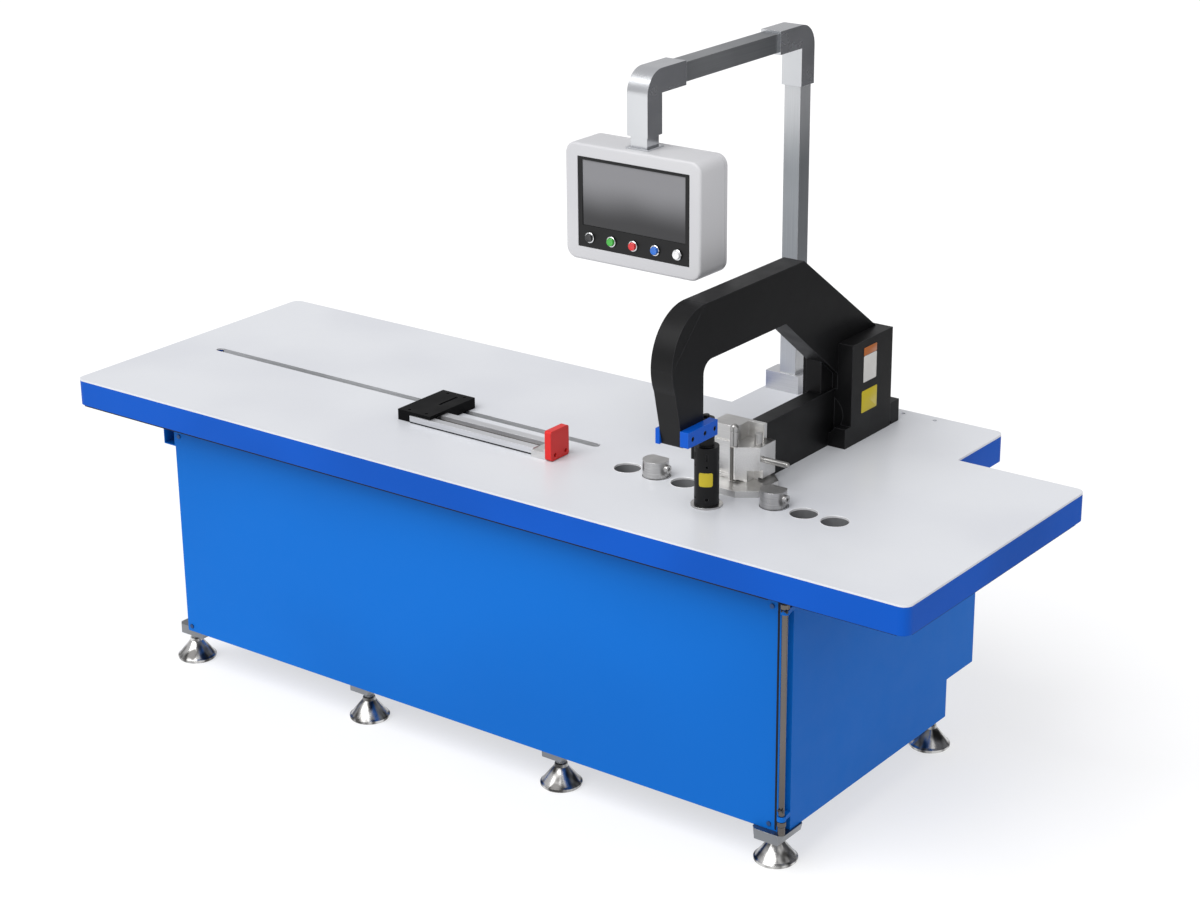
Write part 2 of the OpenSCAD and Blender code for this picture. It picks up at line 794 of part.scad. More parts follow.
// Carriage plate on the table, with a channel underneath for the arm.
module gauge_carriage() {
    x0 = carriage_x - carriage_w / 2;
    z0 = table_h + lift;
    z1 = z0 + carriage_t;
    color("dimgray") difference() {
        block([x0, carriage_y0, z0], [x0 + carriage_w, carriage_y0 + carriage_l, z1]);
        block([arm_x0 - gap, arm_y[0] - 10, z0 - cut],
              [x0 + carriage_w + cut, arm_y[1] + gap, z0 + arm_t + gap]);
        for (x = [x0 + 30, x0 + carriage_w - 24], y = [carriage_y0 + 14, carriage_y0 + carriage_l - 16])
            translate([x, y, z1]) cylinder(d = 9, h = 6, center = true);
        block([x0 + carriage_w - 46, slot_y - 62, z1 - 3], [x0 + carriage_w - 38, slot_y + 14, z1 + cut]);
    }
}

// Arm: a flat bar with a groove between its two rails.
module gauge_arm() {
    x0 = arm_x0 - cut;
    x1 = arm_x1 + cut;
    z0 = table_h + lift;
    color("silver") difference() {
        block([arm_x0, arm_y[0], z0], [arm_x1, arm_y[1], z0 + arm_t]);
        block([x0, arm_groove[0], z0 + 9], [x1, arm_groove[1], z0 + arm_t + cut]);
        block([x0, arm_groove[0] + 9, z0 + 4], [x1, arm_groove[1] - 9, z0 + arm_t + cut]);
        block([x0, arm_y[0] - cut, z0 - cut], [x1, arm_y[0] + 2, z0 + 4]);
    }
}

// End block: it laps the front rail, carries the stop and holds a clamp screw.
module gauge_end_block() {
    z0 = table_h + lift;
    color("silver") difference() {
        union() {
            block([arm_x1 + seat, stop_y[0] + 6, z0], [arm_x1 + end_block_l, arm_y[1] - 12, z0 + arm_t - 2]);
            block([arm_x1 + end_block_l - 9, stop_y[0] + 6, z0],
                  [arm_x1 + end_block_l, stop_y[1] - 2, z0 + 28]);
            rod_z(arm_x1 + 14, arm_y[1] - 22, z0, z0 + arm_t + 5, 13);
        }
        for (y = stop_screw_y)
            rod_x(arm_x1 + end_block_l - 9 - cut, arm_x1 + end_block_l + cut, y, z0 + 15, 7);
        translate([arm_x1 + 14, arm_y[1] - 22, z0 + arm_t + 2]) cylinder(d = 7, h = 10, $fn = 6);
    }
}

// Stop plate with round edges and its two cap screws.
module gauge_stop() {
    x0 = arm_x1 + end_block_l + seat;
    z0 = table_h + lift;
    r = 7;
    color("crimson") difference() {
        union() {
            slab_x(x0, stop_t) round_rect([stop_y[0], z0 + 1], [stop_y[1], z0 + stop_h], r);
            rod_x(x0 - 6, x0 + cut, stop_y[1] - 20, z0 + stop_h - 34, 34);
        }
        for (y = stop_screw_y) rod_x(x0 + stop_t - 6, x0 + stop_t + cut, y, z0 + 15, 11);
    }
}

// ---------- press frame ----------

function throat_at(y) = throat_z - (y - apex_y) * slope;

// Outline of the C-frame: distance from the front edge, height above the table.
module c_outline() {
    arc_y = arm_front + frame_arc_r;
    arc_z = frame_h - frame_arc_r;
    difference() {
        union() {
            polygon([
                [nose_back - nose_d, nose_z], [arm_front, arc_z], [arc_y, frame_h], [shoulder_y, frame_h],
                [frame_back, yoke_h + 1], [frame_back, leg_z], [leg_y, leg_z], [leg_y, nose_z]
            ]);
            translate([arc_y, arc_z]) circle(frame_arc_r, $fn = 96);
        }
        polygon([
            [nose_back, -cut], [nose_back, throat_z - throat_r], [nose_back + throat_r, throat_z],
            [apex_y, throat_z], [leg_y, throat_at(leg_y)], [leg_y, -cut]
        ]);
        translate([nose_back + throat_r, throat_z - throat_r]) circle(throat_r);
    }
}

module c_frame() {
    side_x = press_x + frame_t / 2;
    color("black") difference() {
        translate([0, 0, table_h]) slab_x(press_x - frame_t / 2, frame_t) c_outline();
        // Pocket beside the leg, in front of the yoke.
        translate([0, 0, table_h]) slab_x(side_x - pocket_t, pocket_t + cut) polygon([
            [leg_y - cut, throat_at(leg_y - cut)], [yoke_y, throat_at(yoke_y)], [yoke_y, 0], [leg_y - cut, 0]
        ]);
        clamp_screw_places(2) cap_hole(8, $bar + 12);
    }
}

module yoke() {
    half = yoke_w / 2;
    slot_half = frame_t / 2 + seat;
    color("black") translate([press_x, 0, table_h]) difference() {
        union() {
            block([-half, yoke_y, 0], [half, yoke_back, yoke_h]);
            block([-half, foot_front, 0], [half, yoke_y + cut, foot_h]);
        }
        block([-slot_half, yoke_y - cut, leg_z - seat], [slot_half, frame_back + seat, yoke_h + cut]);
        block([-ram_w / 2 - seat, foot_front - cut, -cut], [ram_w / 2 + seat, yoke_y, ram_h + seat]);
        rod_y(0, foot_front - cut, bore_end, piston_z, piston_d);
        for (i = [0, 1]) rod_z(port_x[i], port_y[i], -cut, 24, pipe_d + 2 * seat);
        rod_z(port_x[0], port_y[0], 20, piston_z, port_d);
        rod_y(port_x[1], port_y[1], bore_end - 1, 16, port_d);
        rod_z(port_x[1], bore_end - port_d / 2 - 1, 16, piston_z, port_d);
        for (x = [-yoke_bolt_x, yoke_bolt_x], y = yoke_bolt_y) rod_z(x, y, -cut, 42, yoke_bolt_d + 2 * seat);
    }
}

// Block behind the yoke that closes off its rear, with four screws.
module rear_block() {
    half = yoke_w / 2 - 1;
    y0 = yoke_back + seat;
    color("black") translate([press_x, 0, table_h]) difference() {
        block([-half, y0, 0], [half, y0 + rear_block_d, 62]);
        block([-half - cut, y0 - cut, -cut], [half + cut, y0 + 8, 10]);
        for (x = [-50, 50]) translate([x, y0 + rear_block_d, 36]) rotate([-90, 0, 0]) cap_hole(12, 30);
    }
}

// Black guide housing of the ram; its gland plugs the cylinder bore.
module ram_housing() {
    half = ram_w / 2;
    inner = half - ram_wall;
    color("black") translate([press_x, 0, table_h]) difference() {
        union() {
            block([-half, housing_y0, 0], [half, yoke_y - seat, ram_h]);
            rod_y(0, yoke_y - seat, yoke_y + gland_t, piston_z, piston_d - 2 * fit);
            rod_y(0, yoke_y - 6, yoke_y + cut, piston_z, ram_w - 4);
        }
        block([-inner, housing_y0 - cut, ram_floor], [inner, yoke_y - 12, ram_roof]);
        rod_y(0, housing_y0, yoke_y + gland_t + cut, piston_z, rod_d + 2 * fit);
    }
}

// Plate on the table, with its corners cut, that the die block slides over.
module die_base() {
    front = [47, 33];
    rear = 30;
    color("silver") translate([press_x, 0, table_h]) linear_extrude(base_t) polygon([
        [base_x[0] + front[0], base_y[0]], [base_x[1] - front[0], base_y[0]],
        [base_x[1], base_y[0] + front[1]], [base_x[1], base_y[1] - rear],
        [base_x[1] - rear, base_y[1]], [base_x[0] + rear, base_y[1]],
        [base_x[0], base_y[1] - rear], [base_x[0], base_y[0] + front[1]]
    ]);
}

module centre_post() {
    half = frame_t / 2 - 0.4;
    color("black") translate([press_x, 0, table_h]) difference() {
        union() {
            rod_z(0, post_y, seat / 2, post_h, post_d);
            rod_z(0, post_y, -bed_t, seat, post_spigot_d);
            rod_z(0, post_y, post_h - cut, nose_z + 4, post_neck_d);
            block([-half, head_y0, nose_z + 3], [half, head_y1, nose_z + 29]);
            block([-post_neck_d / 2, head_y1 - cut, nose_z + 3], [post_neck_d / 2, post_y, nose_z + 29]);
            rod_z(0, post_y, nose_z + 3, nose_z + 29, post_neck_d);
            rod_z(0, post_y - 3, nose_z + 28, nose_z + 38, 16);
            block([-post_d / 2 - 7, post_y - 13, post_h - 40], [0, post_y + 13, post_h]);
        }
        // Set-screw holes and clamp slots around the post.
        for (a = [-55, -125]) translate([0, post_y, 0]) rotate([0, 0, a]) {
            rod_x(post_d / 2 - 8, post_d, 0, 24, 9);
            rod_x(post_d / 2 - 8, post_d, 0, post_h - 48, 7);
            block([post_d / 2 - 4, -2.5, post_h - 32], [post_d, 2.5, post_h - 14]);
        }
        for (x = [-40, -cut]) rod_x(x, x + 40 + cut, clamp_screw_y[2], clamp_screw_z, 8 + 2 * seat);
    }
}

module post_ring() {
    color("silver") difference() {
        rod_z(press_x, post_y, table_h, table_h + 5, post_d + 18);
        rod_z(press_x, post_y, table_h - cut, table_h + 6, post_d + 2 * seat);
    }
}

// Places of the clamp screws on both sides of the nose, with -Z pointing inwards.
// $bar is the thickness of the bar at each place.
module clamp_screw_places(n) {
    for (k = [0, 1], i = [0:n - 1]) {
        s = 1 - 2 * k;
        $bar = clamp_t[k];
        translate([press_x + s * (frame_t / 2 + seat + $bar), clamp_screw_y[i], table_h + clamp_screw_z])
            rotate([0, s * 90, 0]) children();
    }
}

module clamp_bars() {
    x0 = frame_t / 2 + seat;
    color("royalblue") difference() {
        for (k = [0, 1]) translate([press_x, 0, table_h]) mirror([k, 0, 0])
            block([x0, clamp_y0[k], clamp_z[k]], [x0 + clamp_t[k], clamp_y1, clamp_z[k] + clamp_h]);
        clamp_screw_places(3) cap_hole(8, $bar + 10);
    }
}

// Screws of the press head: clamp bars, rear block and yoke.
module head_screws() {
    color("dimgray") {
        clamp_screw_places(3) cap_screw(8, $bar + 8);
        translate([press_x, 0, table_h]) for (x = [-50, 50])
            translate([x, yoke_back + seat + rear_block_d, 36]) rotate([-90, 0, 0]) cap_screw(12, 30);
        yoke_bolt_places() {
            rod_z(0, 0, bed_z - seat, table_h + 40, yoke_bolt_d);
            translate([0, 0, bed_z - seat - 13]) cylinder(d = 34, h = 13, $fn = 6);
        }
    }
}

// Round inserts in two of the die holes, each with a flat towards the ram.
module die_inserts() {
    d = die_hole_d - 2;
    color("silver") for (i = insert_slots) translate([hole_x(i), die_row_y, table_h]) difference() {
        union() {
            rod_z(0, 0, -bed_t, insert_h, d);
            rod_x(d / 2 - 6, d / 2 + 7, 0, insert_h - 20, 22);
        }
        block([-d, d / 2 - 10, 3], [d, d, insert_h + cut]);
        translate([0, 0, insert_h]) rotate([18, 0, 0]) block([-d, 4, -1.5], [d, d, 20]);
        translate([d / 2 + 2, 0, insert_h - 20]) rotate([0, 90, 0]) cylinder(d = 11, h = 10, $fn = 6);
    }
}

// ---------- ram and dies ----------

module ram_bar() {
    half = ram_w / 2 - ram_wall - gap;
    color("silver") translate([press_x, 0, table_h]) difference() {
        block([-half, die_back, ram_floor + gap], [half, die_back + ram_l, ram_roof - gap]);
        rod_y(0, die_back + ram_l - 30, die_back + ram_l + cut, piston_z, rod_d - 8 + 2 * fit);
    }
}

// Piston with its rod, whose turned end sits in the ram bar.
module piston() {
    rod_y0 = die_back + ram_l;
    y1 = bore_end - 5;
    color("silver") translate([press_x, 0, table_h]) {
        rod_y(0, rod_y0 - 28, rod_y0 + cut, piston_z, rod_d - 8);
        rod_y(0, rod_y0, y1 - piston_t + cut, piston_z, rod_d);
        difference() {
            rod_y(0, y1 - piston_t, y1, piston_z, piston_d - 2 * fit);
            for (y = [y1 - 26, y1 - 13]) difference() {
                rod_y(0, y, y + 5, piston_z, piston_d + 2);
                rod_y(0, y - cut, y + 5 + cut, piston_z, piston_d - 8);
            }
        }
    }
}

// Die block with a narrow nose and a slanted front, on a shoe over the base plate.
module die_block() {
    x0 = die_right - die_w;
    shoulder = die_back - 75;
    slant = die_back - 69;
    color("silver") translate([press_x, 0, table_h]) difference() {
        union() {
            translate([0, 0, die_z]) linear_extrude(die_h - die_z) polygon([
                [x0, die_back], [x0, shoulder], [nose_bar_x - 15, shoulder], [nose_bar_x - 9, die_front],
                [nose_bar_x + 10, die_front], [die_right, slant], [die_right, die_back]
            ]);
            block([x0 + 10, die_front + 16, base_t + lift], [die_right - 14, die_back, die_z + cut]);
        }
        // Hole of the nose bar, hole of the locating pin, bore of the lock pin, notch.
        rod_z(nose_bar_x, nose_bar_y, die_h - 21, die_h + cut, 2 * (spigot_r + fit));
        rod_z(locator_x, locator_y, die_h - 25, die_h + cut, locator_d + 2 * seat);
        rod_x(die_right - 45, die_right + cut, lock_y, lock_z, lock_pin_d + 2 * fit);
        block([die_right - 27, die_front, base_t], [die_right + cut, slant + 12, die_z + 24]);
    }
}

// Upper jaw: a block with one round corner, and a wall along its rear.
module die_cradle() {
    x0 = -98;
    x1 = -23;
    y0 = die_back - 70;
    r = 25;
    color("silver") translate([press_x, 0, table_h + die_h]) linear_extrude(cradle_h) {
        polygon([[x0, y0], [x1 - r, y0], [x1 - r, y0 + r], [x1, y0 + r], [x1, die_back], [x0, die_back]]);
        translate([x1 - r, y0 + r]) circle(r);
        translate([x1 - cut, die_back - 13]) square([locator_x - 7 - x1 + cut, 13]);
    }
}

// Nose bar with a domed top, and the locating pin.
module die_pins() {
    color("silver") translate([press_x, 0, table_h]) {
        difference() {
            union() {
                rod_z(nose_bar_x, nose_bar_y, die_h - 20, die_h + cut, 2 * spigot_r);
                rod_z(nose_bar_x, nose_bar_y, die_h + seat, nose_bar_z, nose_bar_d);
                translate([nose_bar_x, nose_bar_y, nose_bar_z]) sphere(d = nose_bar_d);
            }
            translate([nose_bar_x, nose_bar_y, nose_bar_z - 10]) difference() {
                cylinder(d = nose_bar_d + 2, h = 3);
                translate([0, 0, -cut]) cylinder(d = nose_bar_d - 3, h = 5);
            }
        }
        rod_z(locator_x, locator_y, die_h - 24, die_h + 29, locator_d);
    }
}

// Pull pin with a round end.
module lock_pin() {
    x0 = die_right - 30;
    x1 = die_right + 72;
    color("silver") translate([press_x, lock_y, table_h + lock_z]) difference() {
        union() {
            rod_x(x0, x1, 0, 0, lock_pin_d);
            translate([x1, 0, 0]) sphere(d = lock_pin_d);
        }
        difference() {
            rod_x(die_right + 6, die_right + 10, 0, 0, lock_pin_d + 2);
            rod_x(die_right + 5, die_right + 11, 0, 0, lock_pin_d - 3);
        }
    }
}

// ---------- cabinet contents ----------

module hydraulic_tank() {
    x1 = tank_x + tank_size[0];
    y1 = tank_y + tank_size[1];
    color("gray") difference() {
        union() {
            block([tank_x, tank_y, tank_z], [x1, y1, tank_top - 6]);
            block([tank_x - 12, tank_y - 12, tank_top - 8], [x1 + 12, y1 + 12, tank_top]);
            rod_z(x1 - 60, tank_y + 60, tank_top - cut, tank_top + 45, 60);
        }
        block([tank_x + 4, tank_y + 4, tank_z + 4], [x1 - 4, y1 - 4, tank_top - 8]);
    }
}

// Pump motor: a finned barrel, a fan cowl and a flange on the tank's lid.
module pump_motor() {
    fins = 16;
    barrel_d = motor_d - 14;
    cowl_z = motor_l - 50;
    color("steelblue") translate([motor_x, motor_y, tank_top]) {
        cylinder(d = motor_d + 20, h = 14);
        cylinder(d = barrel_d, h = cowl_z + 10);
        for (i = [0:fins - 1]) rotate([0, 0, (i + 0.5) * 360 / fins])
            block([barrel_d / 2 - 5, -2, 10], [motor_d / 2 - 2, 2, cowl_z + 5]);
        translate([0, 0, cowl_z]) cylinder(d = motor_d, h = 50);
        block([barrel_d / 2 - 30, -45, 70], [motor_d / 2 + 35, 45, 160]);
    }
}

module valve_block() {
    x0 = press_x - valve_size[0] / 2;
    color("silver") difference() {
        union() {
            block([x0, valve_y, tank_top], [x0, valve_y, tank_top] + valve_size);
            for (s = [-1, 1]) rod_x(press_x + min(s * 65, s * 125), press_x + max(s * 65, s * 125),
                                    valve_y + 40, tank_top + 45, 44);
        }
        for (x = port_x) rod_z(press_x + x, valve_y + 70, tank_top + valve_size[2] - 15,
                               tank_top + valve_size[2] + cut, pipe_d + 2 * seat);
    }
}

// Quarter of a pipe bend in the YZ plane about (y, z), from the angle a on.
module bend(y, z, r, a) {
    translate([0, y, z]) rotate([90, 0, 90]) rotate([0, 0, a])
        rotate_extrude(angle = 90) translate([r, 0]) circle(d = pipe_d);
}

// Rigid oil lines from the valve block to the yoke.
module hydraulic_lines() {
    r = 40;
    y0 = valve_y + 70;
    z0 = tank_top + valve_size[2];
    run_z = low_rail_z + 20;
    color("dimgray") for (i = [0, 1]) translate([press_x + port_x[i], 0, 0]) {
        y1 = port_y[i];
        rod_z(0, y0, z0 - 14, run_z - r, pipe_d);
        translate([0, y0, z0 + seat]) cylinder(d = 30, h = 18, $fn = 6);
        bend(y0 + r, run_z - r, r, 90);
        rod_y(0, y0 + r, y1 - r, run_z, pipe_d);
        bend(y1 - r, run_z + r, r, -90);
        rod_z(0, y1, run_z + r, table_h + 20, pipe_d);
    }
}

module electrical_box() {
    x0 = post_x[0] + tube + 60;
    z0 = tray_z + tray_t;
    size = [440, 260, 420];
    y0 = cab_front + 368;
    low = [x0, y0, z0];
    high = low + size;
    wall = [sheet_t, sheet_t, sheet_t];
    color("lightgray") difference() {
        union() {
            block(low, high);
            block(low + [6, -6, 6], [high[0] - 6, y0 + cut, high[2] - 6]);
        }
        block(low + wall, high - wall);
    }
}

// ---------- control arm ----------

module column_base() {
    x0 = column_x - 68;
    y1 = table_rear_d - 2;
    color("silver") difference() {
        block([x0, y1 - elbow_s, table_h], [x0 + 106, y1, table_h + base_h]);
        rod_z(column_x, column_y, table_h + 6, table_h + base_h + cut, spigot_d + 2 * fit);
    }
}

// Square tube on a round spigot that turns in the base.
module column() {
    h = arm_tube / 2;
    z0 = table_h + base_h + gap;
    z1 = table_h + arm_h - elbow_leg + 60;
    color("silver") {
        difference() {
            block([column_x - h, column_y - h, z0], [column_x + h, column_y + h, z1]);
            block([column_x - h + 3, column_y - h + 3, z0 + 8],
                  [column_x + h - 3, column_y + h - 3, z1 + cut]);
        }
        rod_z(column_x, column_y, table_h + 8, z0 + cut, spigot_d);
    }
}

// Outline of an elbow in the YZ plane about the corner of its outer faces: one leg
// runs towards +Y, the other one down.
module elbow_outline() {
    translate([elbow_s, -elbow_s]) square([elbow_leg - elbow_s, elbow_s]);
    translate([0, -elbow_leg]) square([elbow_s, elbow_leg - elbow_s]);
    translate([elbow_s, -elbow_s]) intersection() {
        circle(elbow_s, $fn = 64);
        translate([-elbow_s, 0]) square(elbow_s);
    }
}

module elbow() {
    s = arm_tube + 2 * seat;
    wall = (elbow_s - s) / 2;
    depth = 60;
    difference() {
        slab_x(-elbow_s / 2, elbow_s) elbow_outline();
        block([-s / 2, elbow_leg - depth - seat, -wall - s], [s / 2, elbow_leg + cut, -wall]);
        block([-s / 2, wall, -elbow_leg - cut], [s / 2, wall + s, -elbow_leg + depth + seat]);
    }
}

module arm_elbows() {
    z = table_h + arm_h;
    color("silver") {
        translate([column_x, drop_y - elbow_s / 2, z]) elbow();
        translate([column_x, column_y + elbow_s / 2, z]) mirror([0, 1, 0]) elbow();
    }
}

module arm_tube_top() {
    h = arm_tube / 2;
    z = table_h + arm_h - elbow_s / 2;
    y0 = drop_y - elbow_s / 2 + elbow_leg - 60;
    y1 = column_y + elbow_s / 2 - elbow_leg + 60;
    color("silver") hollow([column_x - h, y0, z - h], [column_x + h, y1, z + h], 1, 3);
}

// Drop tube with a flange; its spigot turns in the panel's top.
module drop_tube() {
    h = arm_tube / 2;
    z0 = table_h + panel_z1 + gap;
    z1 = table_h + arm_h - elbow_leg + 60;
    color("silver") {
        difference() {
            block([column_x - h, drop_y - h, z0], [column_x + h, drop_y + h, z1]);
            block([column_x - h + 3, drop_y - h + 3, z0 + 8], [column_x + h - 3, drop_y + h - 3, z1 + cut]);
        }
        block([column_x - 34, drop_y - 34, z0], [column_x + 34, drop_y + 34, z0 + 4]);
        rod_z(column_x, drop_y, table_h + panel_z1 - panel_wall - 20, z0 + cut, spigot_d);
    }
}

// ---------- control panel ----------

module panel_housing() {
    x0 = column_x - panel_w / 2;
    x1 = column_x + panel_w / 2;
    z0 = table_h + panel_z1 - panel_h;
    z1 = table_h + panel_z1;
    w = panel_wall;
    bz = table_h + bezel_z;
    bx = column_x + bezel_x;
    color("gainsboro") difference() {
        union() {
            difference() {
                slab_y(panel_y0, panel_d) round_rect([x0, z0], [x1, z1], panel_r);
                slab_y(panel_y0 + 20, panel_d - 20 - w)
                    round_rect([x0 + w, z0 + w], [x1 - w, z1 - w], panel_r - w);
            }
            rod_z(column_x, drop_y, z1 - 24, z1 - cut, spigot_d + 16);
        }
        block([bx - bezel_w / 2 - seat, panel_y0 - cut, bz - bezel_h / 2 - seat],
              [bx + bezel_w / 2 + seat, panel_y0 + 21, bz + bezel_h / 2 + seat]);
        rod_z(column_x, drop_y, z1 - 40, z1 + cut, spigot_d + 2 * fit);
    }
}

function button_x(i) = column_x + bezel_x + (i - 2) * button_pitch;

module button_places() {
    for (i = [0:4]) translate([button_x(i), panel_y0, table_h + button_z]) children();
}

// Black front plate with a window, button holes and rings.
module panel_bezel() {
    bx = column_x + bezel_x;
    bz = table_h + bezel_z;
    y0 = panel_y0 + 1.5;
    color("black") difference() {
        union() {
            block([bx - bezel_w / 2, y0, bz - bezel_h / 2],
                  [bx + bezel_w / 2, y0 + bezel_t, bz + bezel_h / 2]);
            button_places() rod_y(0, -1.5, 4, 0, button_d + 8);
            for (s = [-1, 1]) block([bx + s * (bezel_w / 2 - 8) - 5, y0 + 2, bz - bezel_h / 2 + 8],
                                    [bx + s * (bezel_w / 2 - 8) + 5, panel_y0 + 22, bz + bezel_h / 2 - 8]);
        }
        block([bx - screen_w / 2, y0 - cut, table_h + screen_z - screen_h / 2],
              [bx + screen_w / 2, y0 + bezel_t + cut, table_h + screen_z + screen_h / 2]);
        button_places() rod_y(0, -5, 20, 0, button_d + 2 * gap);
    }
}

module panel_screen() {
    bx = column_x + bezel_x;
    half = [screen_w / 2 - seat, screen_h / 2 - seat];
    z = table_h + screen_z;
    color("dimgray")
        block([bx - half[0], panel_y0 + 3.5, z - half[1]], [bx + half[0], panel_y0 + 18, z + half[1]]);
}

// Push button: a round cap and a stem with a shoulder behind the bezel.
module button(i) {
    translate([button_x(i), panel_y0, table_h + button_z]) {
        rod_y(0, -button_proud, 14, 0, button_d);
        rod_y(0, 10, 14, 0, button_d + 4);
    }
}

module button_black() color("black") button(0);
module button_green() color("limegreen") button(1);
module button_red() color("red") button(2);
module button_blue() color("dodgerblue") button(3);
module button_white() color("white") button(4);

place() table_top();
place() table_skirt();
place() bed_plate();
place() table_ribs();
place() cabinet_frame();
place() front_panel();
place() left_panel();
place() rear_panel();
place() bottom_tray();
place() panel_screws();
place() foot_stems();
place() foot_pads();
place() door_hinge();
place() end_door();
place() gauge_bed();
place() gauge_rails();
place() gauge_bearings();
place() gauge_motor();
place() gauge_screw();
place() gauge_nut();
place() gauge_blocks();
place() gauge_saddle();
place() gauge_carriage();
place() gauge_arm();
place() gauge_end_block();
place() gauge_stop();
place() c_frame();
place() yoke();
place() rear_block();
place() ram_housing();
place() die_base();
place() centre_post();
place() post_ring();
place() clamp_bars();
place() head_screws();
place() die_inserts();
place() ram_bar();
place() piston();
place() die_block();
place() die_cradle();
place() die_pins();
place() lock_pin();
place() hydraulic_tank();
place() pump_motor();
place() valve_block();
place() hydraulic_lines();
place() electrical_box();
place() column_base();
place() column();
place() arm_elbows();
place() arm_tube_top();
place() drop_tube();
place() panel_housing();
place() panel_bezel();
place() panel_screen();
place() button_black();
place() button_green();
place() button_red();
place() button_blue();
place() button_white();
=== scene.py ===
"""Looks of a busbar bending machine: its finishes, soft edges, small parts, floor, light and camera.

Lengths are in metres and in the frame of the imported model. Values that end in _mm are in millimetres.
"""

import json
import logging
import math
from dataclasses import dataclass, field
from enum import Enum

import bmesh
import bpy
from mathutils import Matrix, Vector

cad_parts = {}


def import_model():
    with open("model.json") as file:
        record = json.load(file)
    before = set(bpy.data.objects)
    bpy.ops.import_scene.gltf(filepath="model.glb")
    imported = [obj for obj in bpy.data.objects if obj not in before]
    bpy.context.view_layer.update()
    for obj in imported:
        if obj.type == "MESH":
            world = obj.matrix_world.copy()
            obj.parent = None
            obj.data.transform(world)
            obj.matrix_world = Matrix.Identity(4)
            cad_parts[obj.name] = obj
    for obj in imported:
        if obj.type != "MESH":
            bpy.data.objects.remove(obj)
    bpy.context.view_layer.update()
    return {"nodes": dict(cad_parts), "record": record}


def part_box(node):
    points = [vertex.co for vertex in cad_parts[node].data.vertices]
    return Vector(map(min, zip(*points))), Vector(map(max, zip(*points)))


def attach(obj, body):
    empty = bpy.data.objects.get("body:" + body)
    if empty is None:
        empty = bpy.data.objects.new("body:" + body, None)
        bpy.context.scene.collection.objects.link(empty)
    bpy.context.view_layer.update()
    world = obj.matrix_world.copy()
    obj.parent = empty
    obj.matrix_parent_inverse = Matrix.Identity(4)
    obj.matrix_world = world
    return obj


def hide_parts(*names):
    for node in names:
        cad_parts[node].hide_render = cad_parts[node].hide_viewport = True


log = logging.getLogger("bending_machine")
MM = 0.001
UP, REARWARD, RIGHTWARD = Vector((0, 0, 1)), Vector((0, 1, 0)), Vector((1, 0, 0))
X, Y, Z = range(3)

Ring = list[Vector]
Spot = tuple[float, float, float]
Profile = list[tuple[float, float]] | tuple[tuple[float, float], ...]
Piece = bpy.types.Object
Tree = bpy.types.NodeTree
Socket = bpy.types.NodeSocket

# Values that every finish shares.
SMUDGE_SCALE = 14.0  # patches of gloss per metre
RELIEF = 0.6  # strength of the relief
COAT_ROUGHNESS = 0.12
EDGE_SAMPLES = 6
# Where the painted edge highlight, partly worn paint, starts and where it is full
WEAR_AND_HIGHLIGHT_STARTS, WEAR_AND_HIGHLIGHT_FULL = 0.995, 0.82  # cosine between a face and its rounded normal
STREAK = "#3c3c3e"  # the colour that the fine pattern darkens towards


# ---------- colour and shader nodes ----------


def linear(code: str) -> tuple[float, float, float, float]:
    """Turns an sRGB hex value into linear red, green, blue and alpha.

    Args:
        code: six hex digits, with or without a leading hash.

    Returns:
        The linear colour with an alpha of one.
    """
    digits = code.lstrip("#")
    parts = [int(digits[i:i + 2], 16) / 255 for i in (0, 2, 4)]
    r, g, b = [p / 12.92 if p <= 0.04045 else ((p + 0.055) / 1.055) ** 2.4 for p in parts]
    return r, g, b, 1.0


def add_node(tree: Tree, kind: str, values: dict | None = None, links: dict | None = None,
             out: int | str = 0, **settings: object) -> Socket | None:
    """Adds one shader node with its settings, socket values and links.

    Args:
        tree: the node tree that gets the node.
        kind: the node's type, without its ShaderNode prefix.
        values: input socket to constant value.
        links: input socket to the output socket that feeds it.
        out: the output socket that is wanted.
        settings: properties of the node itself.

    Returns:
        The wanted socket, or None where the node has no outputs.
    """
    node = tree.nodes.new("ShaderNode" + kind)
    for name, value in settings.items():
        setattr(node, name, value)
    for socket, value in (values or {}).items():
        node.inputs[socket].default_value = value
    for socket, source in (links or {}).items():
        tree.links.new(source, node.inputs[socket])
    return node.outputs[out] if node.outputs else None


class Surface(Enum):
    """How a surface was made, which decides its fine pattern."""

    POWDER = "powder coat"
    GROUND = "ground or brushed along one axis"
    TURNED = "turned about the vertical"
    MOULDED = "moulded"
    POLISHED = "polished"
    THREADED = "threaded about the vertical"


